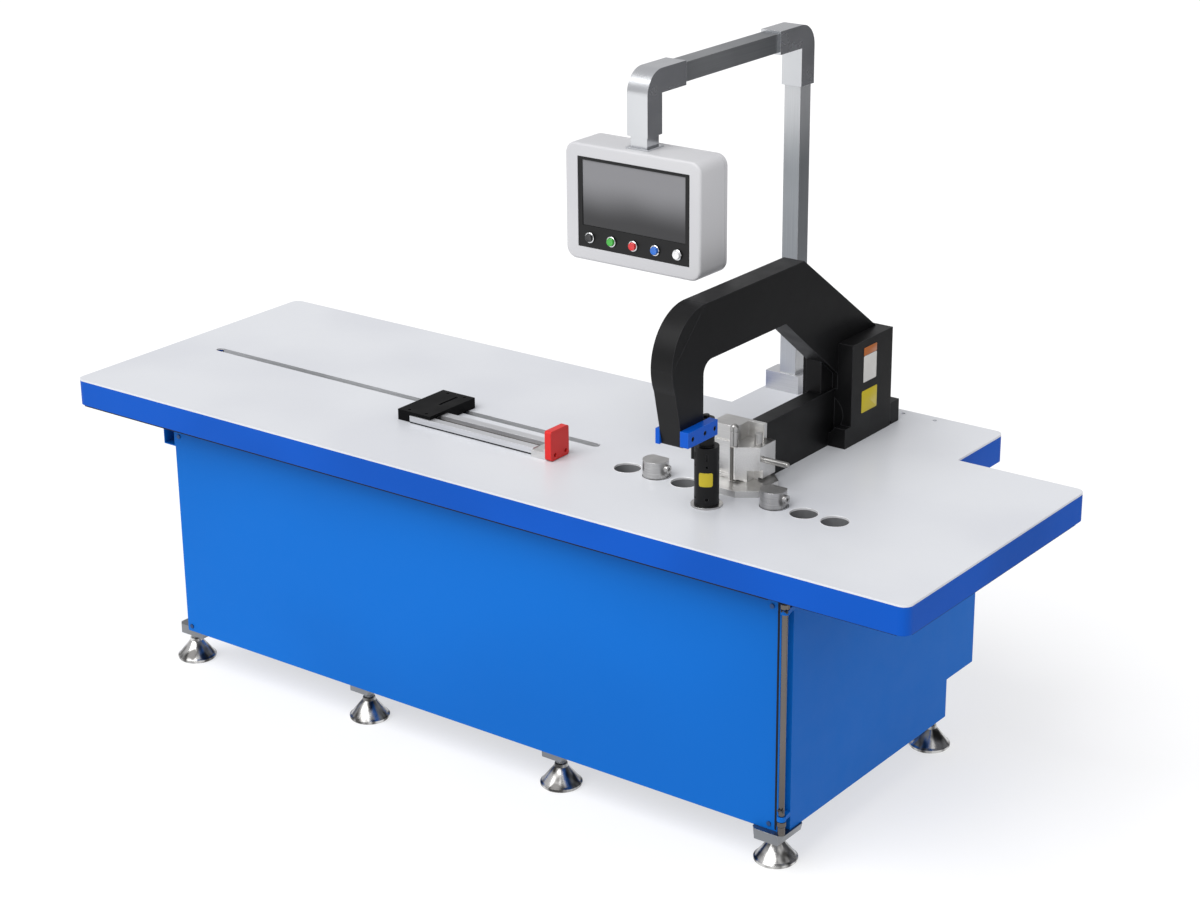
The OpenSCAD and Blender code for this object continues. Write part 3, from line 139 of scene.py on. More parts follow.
@dataclass(frozen=True)
class Finish:
    """One finish: what the real surface is, with its colour, gloss and fine pattern.

    Attributes:
        name: the material's name.
        colour: its main colour, in sRGB.
        shade: a second colour that drifts across the surface, in sRGB.
        roughness: the mean roughness.
        spread: how far the roughness wanders either way.
        metallic: one for a metal.
        coat: weight of a clear gloss layer.
        surface: how it was made.
        grain_mm: size of its pattern across the grain.
        run_mm: length of its pattern along the grain.
        depth_mm: height of its relief.
        edge_mm: radius of its broken edges, which carry the edge colour of painted highlight and worn paint.
        along: axis that the grain follows, 0 to 2.
        edge: colour painted on its rounded edges, in sRGB: mostly a painted highlight, in part worn paint and
            bare metal; on the feet a painted dark reflection.
        wear_and_highlight: how strongly the edge colour, painted highlight and worn paint, shows.
        ior: index of refraction; a metal keeps the default.
        tint: how strongly the fine pattern darkens the colour.
        drift: slow colour waves per metre along each axis.
        glow: strength of its own white light.
    """

    name: str
    colour: str
    shade: str
    roughness: float
    spread: float = 0.05
    metallic: float = 0.0
    coat: float = 0.0
    surface: Surface = Surface.POWDER
    grain_mm: float = 1.6
    run_mm: float = 1.6
    depth_mm: float = 0.02
    edge_mm: float = 1.0
    along: int = 0
    edge: str = "#ffffff"
    wear_and_highlight: float = 0.0
    ior: float = 1.5
    tint: float = 0.0
    drift: Spot = (2.2, 2.2, 2.2)
    glow: float = 0.0

    def _tones(self, tree: Tree, source: Socket, low: float, high: float) -> Socket:
        """Fades from the finish's first tone to its second as a value goes from low to high."""
        amount = add_node(tree, "MapRange", {"From Min": low, "From Max": high}, {"Value": source},
                          interpolation_type="SMOOTHSTEP")
        return add_node(tree, "Mix", {6: linear(self.colour), 7: linear(self.shade)}, {0: amount}, 2,
                        data_type="RGBA")

    def _base(self, tree: Tree, spot: Socket) -> Socket:
        """Makes the base colour, which drifts slowly between two tones.

        Args:
            tree: the material's node tree.
            spot: the position on the object.

        Returns:
            The colour.
        """
        spread = add_node(tree, "Mapping", {"Scale": self.drift}, {"Vector": spot})
        waves = add_node(tree, "TexNoise", {"Scale": 1.0, "Detail": 1.5}, {"Vector": spread})
        return self._tones(tree, waves, 0.36, 0.64)

    def _pattern(self, tree: Tree, spot: Socket) -> Socket:
        """Makes the fine pattern.

        Args:
            tree: the material's node tree.
            spot: the position on the object.

        Returns:
            The pattern's height, from zero to one.
        """
        fine, run = 1 / (self.grain_mm * MM), 1 / (self.run_mm * MM)
        if self.surface is Surface.THREADED:
            return add_node(tree, "TexWave", {"Scale": fine / 6.283}, {"Vector": spot}, "Fac",
                            wave_type="BANDS", bands_direction="Z", wave_profile="TRI")
        scale = [fine] * 3
        if self.surface is Surface.GROUND:
            scale[self.along] = run
        if self.surface is Surface.TURNED:
            scale[X] = scale[Y] = run
        stretched = add_node(tree, "Mapping", {"Scale": tuple(scale)}, {"Vector": spot})
        return add_node(tree, "TexNoise", {"Scale": 1.0, "Detail": 3.0, "Roughness": 0.55},
                        {"Vector": stretched})

    def material(self) -> bpy.types.Material:
        """Builds the material once.

        Returns:
            The new material, or the one that was built before.
        """
        known = bpy.data.materials.get(self.name)
        if known:
            return known
        made = bpy.data.materials.new(self.name)
        made.use_nodes = True
        tree = made.node_tree
        tree.nodes.clear()
        spot = add_node(tree, "TexCoord", out="Object")
        smudge = add_node(tree, "TexNoise", {"Scale": SMUDGE_SCALE, "Detail": 5.0}, {"Vector": spot})
        height = self._pattern(tree, spot)
        colour = self._base(tree, spot)
        if self.tint > 0:
            streak = add_node(tree, "MapRange", {"From Min": 0.35, "From Max": 0.65, "To Max": self.tint},
                              {"Value": height})
            colour = add_node(tree, "Mix", {7: linear(STREAK)}, {0: streak, 6: colour}, 2,
                              data_type="RGBA")
        soft = add_node(tree, "Bevel", {"Radius": self.edge_mm * MM}, samples=EDGE_SAMPLES)
        # Painted highlight on rounded edges, partly worn paint: the edge colour is mixed in where the rounded
        # normal turns away from the face.
        if self.wear_and_highlight > 0:
            flat = add_node(tree, "NewGeometry", out="Normal")
            turn = add_node(tree, "VectorMath", links={0: soft, 1: flat}, out="Value",
                            operation="DOT_PRODUCT")
            mask = add_node(tree, "MapRange", {"From Min": WEAR_AND_HIGHLIGHT_STARTS, "From Max": WEAR_AND_HIGHLIGHT_FULL,
                                               "To Min": 0.0, "To Max": self.wear_and_highlight}, {"Value": turn})
            colour = add_node(tree, "Mix", {7: linear(self.edge)}, {0: mask, 6: colour}, 2,
                              data_type="RGBA")
        gloss = add_node(tree, "MapRange", {"From Min": 0.3, "From Max": 0.7,
                                            "To Min": self.roughness - self.spread,
                                            "To Max": self.roughness + self.spread}, {"Value": smudge})
        relief = add_node(tree, "Bump", {"Strength": RELIEF, "Distance": self.depth_mm * MM},
                          {"Height": height, "Normal": soft})
        shader = add_node(tree, "BsdfPrincipled",
                          {"Metallic": self.metallic, "IOR": self.ior, "Coat Weight": self.coat,
                           "Coat Roughness": COAT_ROUGHNESS, "Emission Strength": self.glow},
                          {"Base Color": colour, "Roughness": gloss, "Normal": relief})
        add_node(tree, "OutputMaterial", links={"Surface": shader})
        return made


@dataclass(frozen=True)
class PaintedSheenGlass(Finish):
    """Dark cover glass with a pale painted reflection that greys its upper part.

    Attributes:
        low_m: height where the painted reflection ends.
        high_m: height where it is full.
    """

    low_m: float = 0.0
    high_m: float = 1.0

    def _base(self, tree: Tree, spot: Socket) -> Socket:
        """Fades the painted reflection from the glass's top to its foot, with a slow drift across.

        Args:
            tree: the material's node tree.
            spot: the position on the object.

        Returns:
            The colour.
        """
        height = add_node(tree, "SeparateXYZ", links={"Vector": spot}, out="Z")
        drift = add_node(tree, "TexNoise", {"Scale": 5.0, "Detail": 1.0}, {"Vector": spot})
        lift = add_node(tree, "Math", {1: (self.high_m - self.low_m) * 0.3}, {0: drift, 2: height},
                        operation="MULTIPLY_ADD")
        return self._tones(tree, lift, self.low_m, self.high_m)


@dataclass(frozen=True)
class Metal(Finish):
    """Bare metal with grinding marks, which the other metals change as they need."""

    metallic: float = 1.0
    surface: Surface = Surface.GROUND
    grain_mm: float = 2.0
    run_mm: float = 60
    depth_mm: float = 0.002
    edge_mm: float = 0.8


@dataclass(frozen=True)
class PaintedHighlightTube(Metal):
    """Brushed tube with a painted highlight that makes it paler at both ends than in its middle.

    Attributes:
        middle_m: height of its middle.
        reach_m: distance from the middle where the painted highlight is full.
    """

    middle_m: float = 0.0
    reach_m: float = 1.0

    def _base(self, tree: Tree, spot: Socket) -> Socket:
        """Fades from the middle's tone to the painted highlight of the ends, up and down.

        Args:
            tree: the material's node tree.
            spot: the position on the object.

        Returns:
            The colour.
        """
        height = add_node(tree, "SeparateXYZ", links={"Vector": spot}, out="Z")
        offset = add_node(tree, "Math", {1: self.middle_m}, {0: height}, operation="SUBTRACT")
        away = add_node(tree, "Math", links={0: offset}, operation="ABSOLUTE")
        return self._tones(tree, away, 0.4 * self.reach_m, self.reach_m)


# ---------- finishes ----------


# White powder coat on the table: an even satin white whose orange peel breaks up broad reflections.
# Orange peel is about 1 mm across; the powder coats draw it at 1.6 mm so that it shows.
WHITE_COAT = Finish("white_powder_coat", "#d3d5d9", "#cdcfd4", 0.34, depth_mm=0.012, edge_mm=0.8)
# Blue powder coat on the cabinet: a saturated, soft blue, with a painted highlight along its folded edges.
BLUE_COAT = Finish("blue_powder_coat", "#0465bf", "#035eb4", 0.48, 0.04, edge_mm=1.5, edge="#4b8ae0",
                   wear_and_highlight=0.35, ior=1.19, drift=(0.8, 0.8, 1.4))
# The same coat with painted shade, a tone deeper, on the table's edge: it gives the eye the dark band under
# the white.
SHADED_BLUE_COAT = Finish("blue_powder_coat_painted_shade", "#0350b4", "#024baa", 0.46, 0.04, edge_mm=1.5,
                        edge="#2f70cc", wear_and_highlight=0.3, ior=1.2)
# Stove enamel on a casting: nearly black, with a soft sheen and lighter, painted highlights along its edges.
BLACK_ENAMEL = Finish("black_enamel", "#0e0e0f", "#131314", 0.42, 0.06, grain_mm=2.2, depth_mm=0.03,
                      edge_mm=2.2, edge="#4c4d50", wear_and_highlight=0.6, ior=1.3)
# Blue enamel on the clamp bars: a little glossier than the coat, with painted highlights on its corners.
CLAMP_BLUE = Finish("clamp_blue_enamel", "#0450b8", "#034cae", 0.40, 0.04, depth_mm=0.01, edge_mm=1.5,
                    edge="#4f8ee6", wear_and_highlight=0.5, ior=1.25)
# Black anodised aluminium: a dry, even black with thin grey painted highlights on its corners. Its blasting
# is drawn at 0.9 mm.
BLACK_ANODISED = Finish("black_anodised_aluminium", "#070708", "#0a0a0b", 0.5, grain_mm=0.9,
                        depth_mm=0.008, edge="#3a3b3d", wear_and_highlight=0.5, ior=1.16)
# Red enamel on the stop: a warm, glossy red that draws the eye to the setting face.
RED_ENAMEL = Finish("red_enamel", "#d8221f", "#cb1d1a", 0.33, edge_mm=2.0, depth_mm=0.01,
                    edge="#e0524c", wear_and_highlight=0.4, ior=1.42)
# Grey enamel on the tank and the electrical box: a dull, neutral tone that stays in the background.
GREY_ENAMEL = Finish("grey_enamel", "#b4b5b3", "#a9aaa8", 0.45)
# Blue-grey motor enamel: sets the pump's motor apart from its tank.
MOTOR_ENAMEL = Finish("motor_enamel", "#2c4a6b", "#274160", 0.42)
# Light grey coat on the control panel: a pale frame that makes the screen look dark.
PANEL_COAT = Finish("light_grey_coat", "#c4c4c6", "#bebec1", 0.40, 0.03, depth_mm=0.01, edge_mm=0.8)
# Ground steel: its marks run one way and stretch each highlight across them. Real marks are finer
# than 0.1 mm; they are drawn at 1.6 mm so that they show.
GROUND_STEEL = Metal("ground_steel", "#e8e7e5", "#cfcecc", 0.34, grain_mm=1.6, tint=0.1,
                     drift=(9, 9, 9), edge_mm=1.2, edge="#fafafa", wear_and_highlight=0.5)
# Bored steel round the die holes: dull rings that make the openings read as deep.
BORED_STEEL = Metal("bored_steel", "#8f9092", "#7d7e80", 0.5, metallic=0.35, surface=Surface.TURNED,
                    grain_mm=1.2, run_mm=30, depth_mm=0.01, edge_mm=0.6)
# Blackened steel: a dark, uneven sheen on the clamp's screws and on the drive under the table.
DARK_STEEL = Metal("blackened_steel", "#37383a", "#2c2d2f", 0.42, 0.08, grain_mm=1.6, run_mm=24,
                   depth_mm=0.01)
# Zinc plate: a cool mid grey with painted highlights on its corners, on the feet's stems, the tray and the
# oil lines.
ZINC = Metal("zinc_plate", "#8f9193", "#7f8184", 0.38, 0.08, surface=Surface.POWDER, grain_mm=3,
             depth_mm=0.01, edge="#d8d9da", wear_and_highlight=0.4)
# Bright chamfered steel: the thin pale line that outlines each hole against the white table.
BRIGHT_STEEL = Metal("bright_chamfer_steel", "#f2f2f3", "#e8e8ea", 0.4, 0.04, 0.3, surface=Surface.TURNED,
                     depth_mm=0.001, edge_mm=0.4)
# Turned steel: rings round the axis that fan its highlight. The rings are drawn 2 mm apart.
TURNED_STEEL = Metal("turned_steel", "#d0cfcd", "#bcbbba", 0.30, surface=Surface.TURNED, tint=0.25,
                     edge_mm=1.2, edge="#f2f2f2", wear_and_highlight=0.5)
# Hard chrome: the one mirror, on the piston and the buttons' rings.
CHROME = Metal("hard_chrome", "#bfc0c3", "#b2b3b6", 0.16, 0.04, surface=Surface.POLISHED, grain_mm=6,
               depth_mm=0.003, edge_mm=1.0)
# Extruded aluminium, brushed and clear anodised: drawing lines along the tube, with a satin shine.
# The lines are drawn 2 mm wide so that they show.
ALUMINIUM_Y = Metal("brushed_aluminium_level", "#a2a4a7", "#85888b", 0.36, 0.03, 0.85, run_mm=240,
                    depth_mm=0.001, edge_mm=1.6, along=Y, edge="#f4f4f4", wear_and_highlight=0.55, tint=0.12,
                    drift=(0.1, 2.0, 0.1))
# Die-cast and polished elbows: smoother and brighter than the tubes they join.
CAST_ALUMINIUM = Metal("polished_cast_aluminium", "#d8dadd", "#c8cacd", 0.25, 0.04,
                       surface=Surface.POLISHED, grain_mm=9, depth_mm=0.0005, edge_mm=0.5, edge="#fafafa",
                       wear_and_highlight=0.3)
# Milled aluminium: a satin sheen with faint cutter lines, drawn 2 mm wide so that they show.
ALUMINIUM_X = Metal("milled_aluminium", "#e4e5e8", "#d4d5d8", 0.40, 0.04, 0.75, run_mm=90,
                    depth_mm=0.001, edge="#fafafa", wear_and_highlight=0.4, tint=0.1)
# Drawn steel rod, lightly polished: an even soft shine.
STEEL_ROD = Metal("drawn_steel_rod", "#b9b8b6", "#a5a4a2", 0.34, 0.04, 0.95, surface=Surface.POLISHED,
                  grain_mm=4, depth_mm=0.001, edge_mm=1.0, edge="#ededed", wear_and_highlight=0.4)
# Steel that slides under load: greyer than the ground faces beside it, with fine upright scuffs.
WORN_STEEL = Metal("worn_steel", "#86837f", "#75726f", 0.42, 0.06, 0.9, run_mm=50, depth_mm=0.003,
                   along=Z, edge="#c8c6c3", wear_and_highlight=0.5, tint=0.3)
# Polished steel feet: painted reflections of the dark underside and the pale floor, in upright streaks round
# the cones, with painted dark edges.
FOOT_STEEL = Metal("polished_foot_steel", "#d9d8d6", "#4a4948", 0.24, 0.04, surface=Surface.TURNED,
                   edge_mm=1.2, edge="#6a6968", wear_and_highlight=0.6, drift=(34, 34, 0.5))
# Oiled steel rod: a dark, brownish grey with one narrow shine down its length. The same grey paints the shade
# in the gauge arm's groove.
HINGE_STEEL_AND_GROOVE_SHADE = Metal("oiled_steel_rod_and_groove_shade", "#6f6a67", "#5f5b58", 0.28, 0.04, run_mm=200, depth_mm=0.001,
                    along=Z)
# Blued steel screws: small dark points that sink into the coat round them.
BLUED_STEEL = Metal("blued_steel", "#3a5580", "#324b74", 0.4, metallic=0.8, surface=Surface.POLISHED,
                    grain_mm=3, edge_mm=0.4)
# Black for painted shadow: a matt dark line that stands for the shade in gaps and under edges.
PAINTED_SHADOW_BLACK = Finish("painted_shadow_black", "#101318", "#14171c", 0.7, surface=Surface.MOULDED, grain_mm=1.5,
                depth_mm=0.01, edge_mm=0.4, ior=1.3)
# Cut steel edge in the slot: a dull mid grey that makes the slot a soft band, not a black line.
SLOT_STEEL = Metal("cut_steel_edge", "#cdcfd2", "#babcbf", 0.5, metallic=0.3, edge_mm=0.4, tint=0.2)
# Rolled thread steel: bright bands about 5 mm apart, drawn level. The gauge's screw has a 20 mm lead,
# and its bands should go round it; it lies under the table, where they hardly show.
THREAD = Metal("rolled_thread", "#a3a4a6", "#8f9092", 0.30, 0.06, surface=Surface.THREADED,
               grain_mm=2.5, depth_mm=0.8, edge_mm=0.4)
# Black ABS round the screen: a fine moulded grain that keeps it duller than the glass.
BLACK_ABS = Finish("black_abs", "#0d0d0e", "#121213", 0.40, surface=Surface.MOULDED, grain_mm=0.8,
                   depth_mm=0.01, edge_mm=0.6, ior=1.38)
# Printed foil, three plain colours: flat and slightly glossy, so the fields stand out on the black.
YELLOW_PLATE = Finish("yellow_plate", "#c9b516", "#bdaa14", 0.35, grain_mm=4, depth_mm=0.005, edge_mm=0.3)
WHITE_PLATE = Finish("white_plate", "#cfcdc9", "#c6c4c0", 0.35, grain_mm=4, depth_mm=0.005, edge_mm=0.3)
ORANGE_PLATE = Finish("orange_plate", "#b0632a", "#a65d26", 0.35, grain_mm=4, depth_mm=0.005, edge_mm=0.3)
# Black phenolic: small glossy clips on the hinge rod.
BLACK_KNOB = Finish("black_phenolic", "#101011", "#18181a", 0.30, surface=Surface.MOULDED, grain_mm=2,
                    depth_mm=0.004, edge_mm=0.6)
# Lit acrylic floor: a plain pale ground with a light of its own, which keeps the shadows soft.
LIT_ACRYLIC = Finish("lit_acrylic_floor", "#a9a9a9", "#a7a7a7", 0.9, 0.02, grain_mm=30, depth_mm=0.0,
                     ior=1.2, glow=0.61)
# Grey felt card: a dull tone for the metal to reflect, so that its sides read darker than its fronts.
GREY_FELT = Finish("grey_felt", "#6c6c6e", "#68686a", 0.95, 0.02, grain_mm=3, depth_mm=0.0, ior=1.2)


def button_finish(colour: str, shade: str) -> Finish:
    """Gives the gloss plastic of a button cap in its own colour."""
    return Finish("cap_" + colour.lstrip("#"), colour, shade, 0.22, 0.03, coat=0.4,
                  surface=Surface.MOULDED, grain_mm=2, depth_mm=0.003, edge_mm=0.4)


def column_finish() -> PaintedHighlightTube:
    """Gives the brushed tube of the column, with a painted highlight that makes its ends paler than its
    middle.

    Returns:
        The finish, which follows the column's own height.
    """
    low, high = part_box("column")
    return PaintedHighlightTube("brushed_aluminium_upright", "#9a9ea2", "#d6d8da", 0.36, 0.03, 0.85, run_mm=240,
                       depth_mm=0.001, edge_mm=1.6, along=Z, edge="#f4f4f4", wear_and_highlight=0.55, tint=0.12,
                       middle_m=(low.z + high.z) / 2, reach_m=(high.z - low.z) * 0.42)


def screen_finish() -> PaintedSheenGlass:
    """Gives the screen's glass, with a painted reflection over the upper part.

    Returns:
        The finish, which follows the screen's own height.
    """
    low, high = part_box("panel_screen")
    return PaintedSheenGlass("screen_glass", "#2a2a2c", "#7c7c7f", 0.16, 0.03, surface=Surface.POLISHED, grain_mm=40,
                      depth_mm=0.0005, edge_mm=0.4, low_m=low.z + 0.2 * (high.z - low.z),
                      high_m=high.z - 0.12 * (high.z - low.z))


NODE_FINISH: dict[Finish, tuple[str, ...]] = {
    WHITE_COAT: ("table_top",),
    BLUE_COAT: ("cabinet_frame", "front_panel", "left_panel", "rear_panel", "end_door"),
    SHADED_BLUE_COAT: ("table_skirt",),
    CLAMP_BLUE: ("clamp_bars",),
    BLACK_ANODISED: ("gauge_carriage",),
    BLACK_ENAMEL: ("c_frame", "yoke", "rear_block", "ram_housing", "centre_post"),
    RED_ENAMEL: ("gauge_stop",),
    GREY_ENAMEL: ("electrical_box", "hydraulic_tank"),
    MOTOR_ENAMEL: ("pump_motor",),
    PANEL_COAT: ("panel_housing",),
    BORED_STEEL: ("bed_plate",),
    GROUND_STEEL: ("gauge_rails", "gauge_nut", "gauge_blocks", "gauge_end_block", "die_base",
                   "die_block", "die_cradle", "ram_bar", "valve_block"),
    DARK_STEEL: ("table_ribs", "gauge_bed", "gauge_bearings", "gauge_motor", "gauge_saddle", "head_screws"),
    ZINC: ("bottom_tray", "hydraulic_lines", "foot_stems"),
    HINGE_STEEL_AND_GROOVE_SHADE: ("door_hinge",),
    BLUED_STEEL: ("panel_screws",),
    FOOT_STEEL: ("foot_pads",),
    TURNED_STEEL: ("die_inserts", "post_ring"),
    CHROME: ("piston",),
    CAST_ALUMINIUM: ("arm_elbows", "drop_tube"),
    ALUMINIUM_Y: ("arm_tube_top",),
    ALUMINIUM_X: ("gauge_arm", "column_base"),
    STEEL_ROD: ("lock_pin", "die_pins"),
    THREAD: ("gauge_screw",),
    BLACK_ABS: ("panel_bezel",),
}


# ---------- meshes ----------


def dress(piece: Piece, finish: Finish) -> None:
    """Gives every face of a piece one finish."""
    piece.data.materials.clear()
    piece.data.materials.append(finish.material())


def round_ring(x0: float, x1: float, z0: float, z1: float, y: float, radius: float, steps: int = 8) -> Ring:
    """Makes a rectangle with round corners in a plane across Y.

    Args:
        x0: left side.
        x1: right side.
        z0: lower side.
        z1: upper side.
        y: the plane's place.
        radius: corner radius.
        steps: segments in each corner.

    Returns:
        The points in order, four corners of steps + 1 points.
    """
    points = []
    corners = ((x1 - radius, z1 - radius, 0), (x0 + radius, z1 - radius, 90),
               (x0 + radius, z0 + radius, 180), (x1 - radius, z0 + radius, 270))
    for cx, cz, start in corners:
        for i in range(steps + 1):
            turn = math.radians(start + 90 * i / steps)
            points.append(Vector((cx + radius * math.cos(turn), y, cz + radius * math.sin(turn))))
    return points


def refined(ring: Ring, longest: float) -> Ring:
    """Adds points to a ring so that none of its edges is too long.

    Args:
        ring: the points in order.
        longest: the greatest length of an edge.

    Returns:
        The ring with the points added.
    """
    points = []
    for a, b in zip(ring, ring[1:] + ring[:1]):
        parts = max(1, math.ceil((b - a).length / longest))
        points += [a.lerp(b, i / parts) for i in range(parts)]
    return points


def quarter(radius: float, steps: int) -> Profile:
    """Gives the points of a quarter circle that rounds an edge, from the face to the side."""
    turns = [math.radians(90 * i / steps) for i in range(steps + 1)]
    return [(radius * (1 - math.sin(t)), radius * (1 - math.cos(t))) for t in turns]


def circle_ring(centre: Vector, axis: Vector, radius: float, sides: int) -> Ring:
    """Makes a circle of points about an axis.

    Args:
        centre: its centre.
        axis: the axis, as a unit vector.
        radius: its radius.
        sides: number of points.

    Returns:
        The points in order.
    """
    first = axis.orthogonal().normalized()
    second = axis.cross(first).normalized()
    turns = [2 * math.pi * i / sides for i in range(sides)]
    return [centre + radius * (math.cos(t) * first + math.sin(t) * second) for t in turns]


def loft(name: str, rings: list[Ring], finish: Finish, closed: tuple[bool, bool] = (True, True),
         smooth_angle: float = 35) -> Piece:
    """Skins a row of rings that all have as many points.

    Args:
        name: the piece's name.
        rings: the rings in order.
        finish: the piece's finish.
        closed: whether the first and the last ring get a face.
        smooth_angle: edges flatter than this many degrees are shaded smooth.

    Returns:
        The new piece.
    """
    bm = bmesh.new()
    rows = [[bm.verts.new(p) for p in ring] for ring in rings]
    for low, high in zip(rows, rows[1:]):
        for i in range(len(low)):
            j = (i + 1) % len(low)
            bm.faces.new((low[i], low[j], high[j], high[i]))
    if closed[0]:
        bm.faces.new(reversed(rows[0]))
    if closed[1]:
        bm.faces.new(rows[-1])
    bmesh.ops.recalc_face_normals(bm, faces=bm.faces)
    return finish_mesh(name, bm, finish, smooth_angle)


def linked(name: str, bm: bmesh.types.BMesh) -> Piece:
    """Turns a bmesh into a piece of the scene, and frees it.

    Args:
        name: the piece's name.
        bm: the bmesh.

    Returns:
        The new piece, with no finish yet.
    """
    mesh = bpy.data.meshes.new(name)
    bm.to_mesh(mesh)
    bm.free()
    piece = bpy.data.objects.new(name, mesh)
    bpy.context.scene.collection.objects.link(piece)
    return piece


def finish_mesh(name: str, bm: bmesh.types.BMesh, finish: Finish, smooth_angle: float = 35) -> Piece:
    """Shades a bmesh smooth up to an angle, and turns it into a dressed piece.

    Args:
        name: the piece's name.
        bm: the bmesh, which is freed.
        finish: the piece's finish.
        smooth_angle: edges flatter than this many degrees are shaded smooth.

    Returns:
        The new piece.
    """
    limit = math.radians(smooth_angle)
    for face in bm.faces:
        face.smooth = True
    for edge in bm.edges:
        edge.smooth = len(edge.link_faces) == 2 and edge.calc_face_angle(0.0) < limit
    piece = linked(name, bm)
    dress(piece, finish)
    return piece


def sheet(name: str, corners: list[Spot], finish: Finish) -> Piece:
    """Makes one flat face.

    Args:
        name: the piece's name.
        corners: its corners in order.
        finish: its finish.

    Returns:
        The new piece.
    """
    bm = bmesh.new()
    bm.faces.new([bm.verts.new(corner) for corner in corners])
    return finish_mesh(name, bm, finish)


def turned(name: str, origin: Vector, axis: Vector, profile_mm: Profile, finish: Finish,
           bore_mm: float = 0.0, sides: int = 48, closed: bool = True) -> Piece:
    """Turns a profile about an axis.

    Args:
        name: the piece's name.
        origin: the point that distances along the axis are counted from.
        axis: the axis, as a unit vector.
        profile_mm: distance along the axis and distance from the bore at each ring.
        finish: the piece's finish.
        bore_mm: radius of the bore.
        sides: points around each ring.
        closed: whether both ends get a face.

    Returns:
        The new piece.
    """
    rings = [circle_ring(origin + d * MM * axis, axis, (bore_mm + r) * MM, sides) for d, r in profile_mm]
    return loft(name, rings, finish, (closed, closed))


def bar(name: str, low: Spot, high: Spot, along: int, edge: float, finish: Finish) -> Piece:
    """Builds a bar with broken edges.

    Args:
        name: the piece's name.
        low: its lowest corner.
        high: its highest corner.
        along: the axis it runs along.
        edge: width of its broken edges.
        finish: its finish.

    Returns:
        The new piece.
    """
    first, second = [i for i in range(3) if i != along]
    rings = []
    for inset, at, share in ((edge, low[along], 0.3), (0.0, low[along] + edge, 0.999),
                             (0.0, high[along] - edge, 0.999), (edge, high[along], 0.3)):
        a0, a1 = low[first] + inset, high[first] - inset
        b0, b1 = low[second] + inset, high[second] - inset
        c = edge * share
        ring = []
        for a, b in ((a0 + c, b0), (a1 - c, b0), (a1, b0 + c), (a1, b1 - c), (a1 - c, b1), (a0 + c, b1),
                     (a0, b1 - c), (a0, b0 + c)):
            point = Vector()
            point[first], point[second], point[along] = a, b, at
            ring.append(point)
        rings.append(ring)
    return loft(name, rings, finish, smooth_angle=20)


def joined(name: str, parts: list[Piece]) -> Piece:
    """Joins pieces of one finish.

    Args:
        name: the joined piece's name.
        parts: the pieces, which are removed.

    Returns:
        The joined piece.
    """
    bm = bmesh.new()
    for part in parts:
        bm.from_mesh(part.data)
    first = parts[0].data.materials[0]
    for part in parts:
        bpy.data.objects.remove(part)
    piece = linked(name, bm)
    piece.data.materials.append(first)
    return piece


def solid_boxes(node: str) -> list[tuple[Vector, Vector]]:
    """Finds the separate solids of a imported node.

    Args:
        node: the node's name.

    Returns:
        The lowest and highest corner of each solid, from left to right.
    """
    bm = bmesh.new()
    bm.from_mesh(bpy.data.objects[node].data)
    bmesh.ops.remove_doubles(bm, verts=bm.verts, dist=1e-6)
    left = set(bm.verts)
    boxes = []
    while left:
        solid = {left.pop()}
        front = solid
        while front:
            front = {edge.other_vert(vert) for vert in front for edge in vert.link_edges} - solid
            solid = solid | front
        left -= solid
        boxes.append(tuple(Vector([pick(vert.co[i] for vert in solid) for i in range(3)])
                           for pick in (min, max)))
    bm.free()
    return sorted(boxes, key=lambda box: tuple(box[0]))


# ---------- sub-assemblies ----------


def place(piece: Piece, body: str, stands_for: str = "") -> None:
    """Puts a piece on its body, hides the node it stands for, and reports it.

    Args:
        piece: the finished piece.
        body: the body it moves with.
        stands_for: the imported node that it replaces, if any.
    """
    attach(piece, body)
    if stands_for:
        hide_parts(stands_for)
    log.info("%s built, on %s", piece.name, body)


@dataclass
class PanelShell:
    """Folded shell of the control panel: round edges, a window and the joint of its rear lid.

    Attributes:
        corner: radius of its four corners.
        edge: radius of its front and rear edges.
        seam: width and depth of the joint before its rear lid.
        lid: depth of the lid.
        window: depth of the window's sides, radius of their corners and their gap round the bezel.
    """

    corner: float = 30 * MM
    edge: float = 7 * MM
    seam: float = 1.2 * MM
    lid: float = 16 * MM
    window: Spot = (9.6 * MM, 1 * MM, 0.3 * MM)

    def build(self) -> None:
        """Builds the shell and lets it stand for the plain one."""
        low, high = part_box("panel_housing")
        inner_low, inner_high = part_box("panel_bezel")
        deep, radius, gap = self.window
        rings = [round_ring(inner_low.x - gap, inner_high.x + gap, inner_low.z - gap, inner_high.z + gap, y,
                            radius) for y in (low.y + deep, low.y)]
        lid, seam = high.y - self.lid, self.seam
        rounding = quarter(self.edge, 6)
        steps = [(inset, low.y + back) for inset, back in rounding]
        steps += [(0, lid - seam), (seam, lid - seam / 2), (seam, lid + seam / 2), (0, lid + seam)]
        steps += [(inset, high.y - back) for inset, back in reversed(rounding)]
        rings += [round_ring(low.x + inset, high.x - inset, low.z + inset, high.z - inset, y,
                             self.corner - inset) for inset, y in steps]
        shell = loft("panel_shell", rings, PANEL_COAT, closed=(False, True))
        place(shell, "panel", "panel_housing")


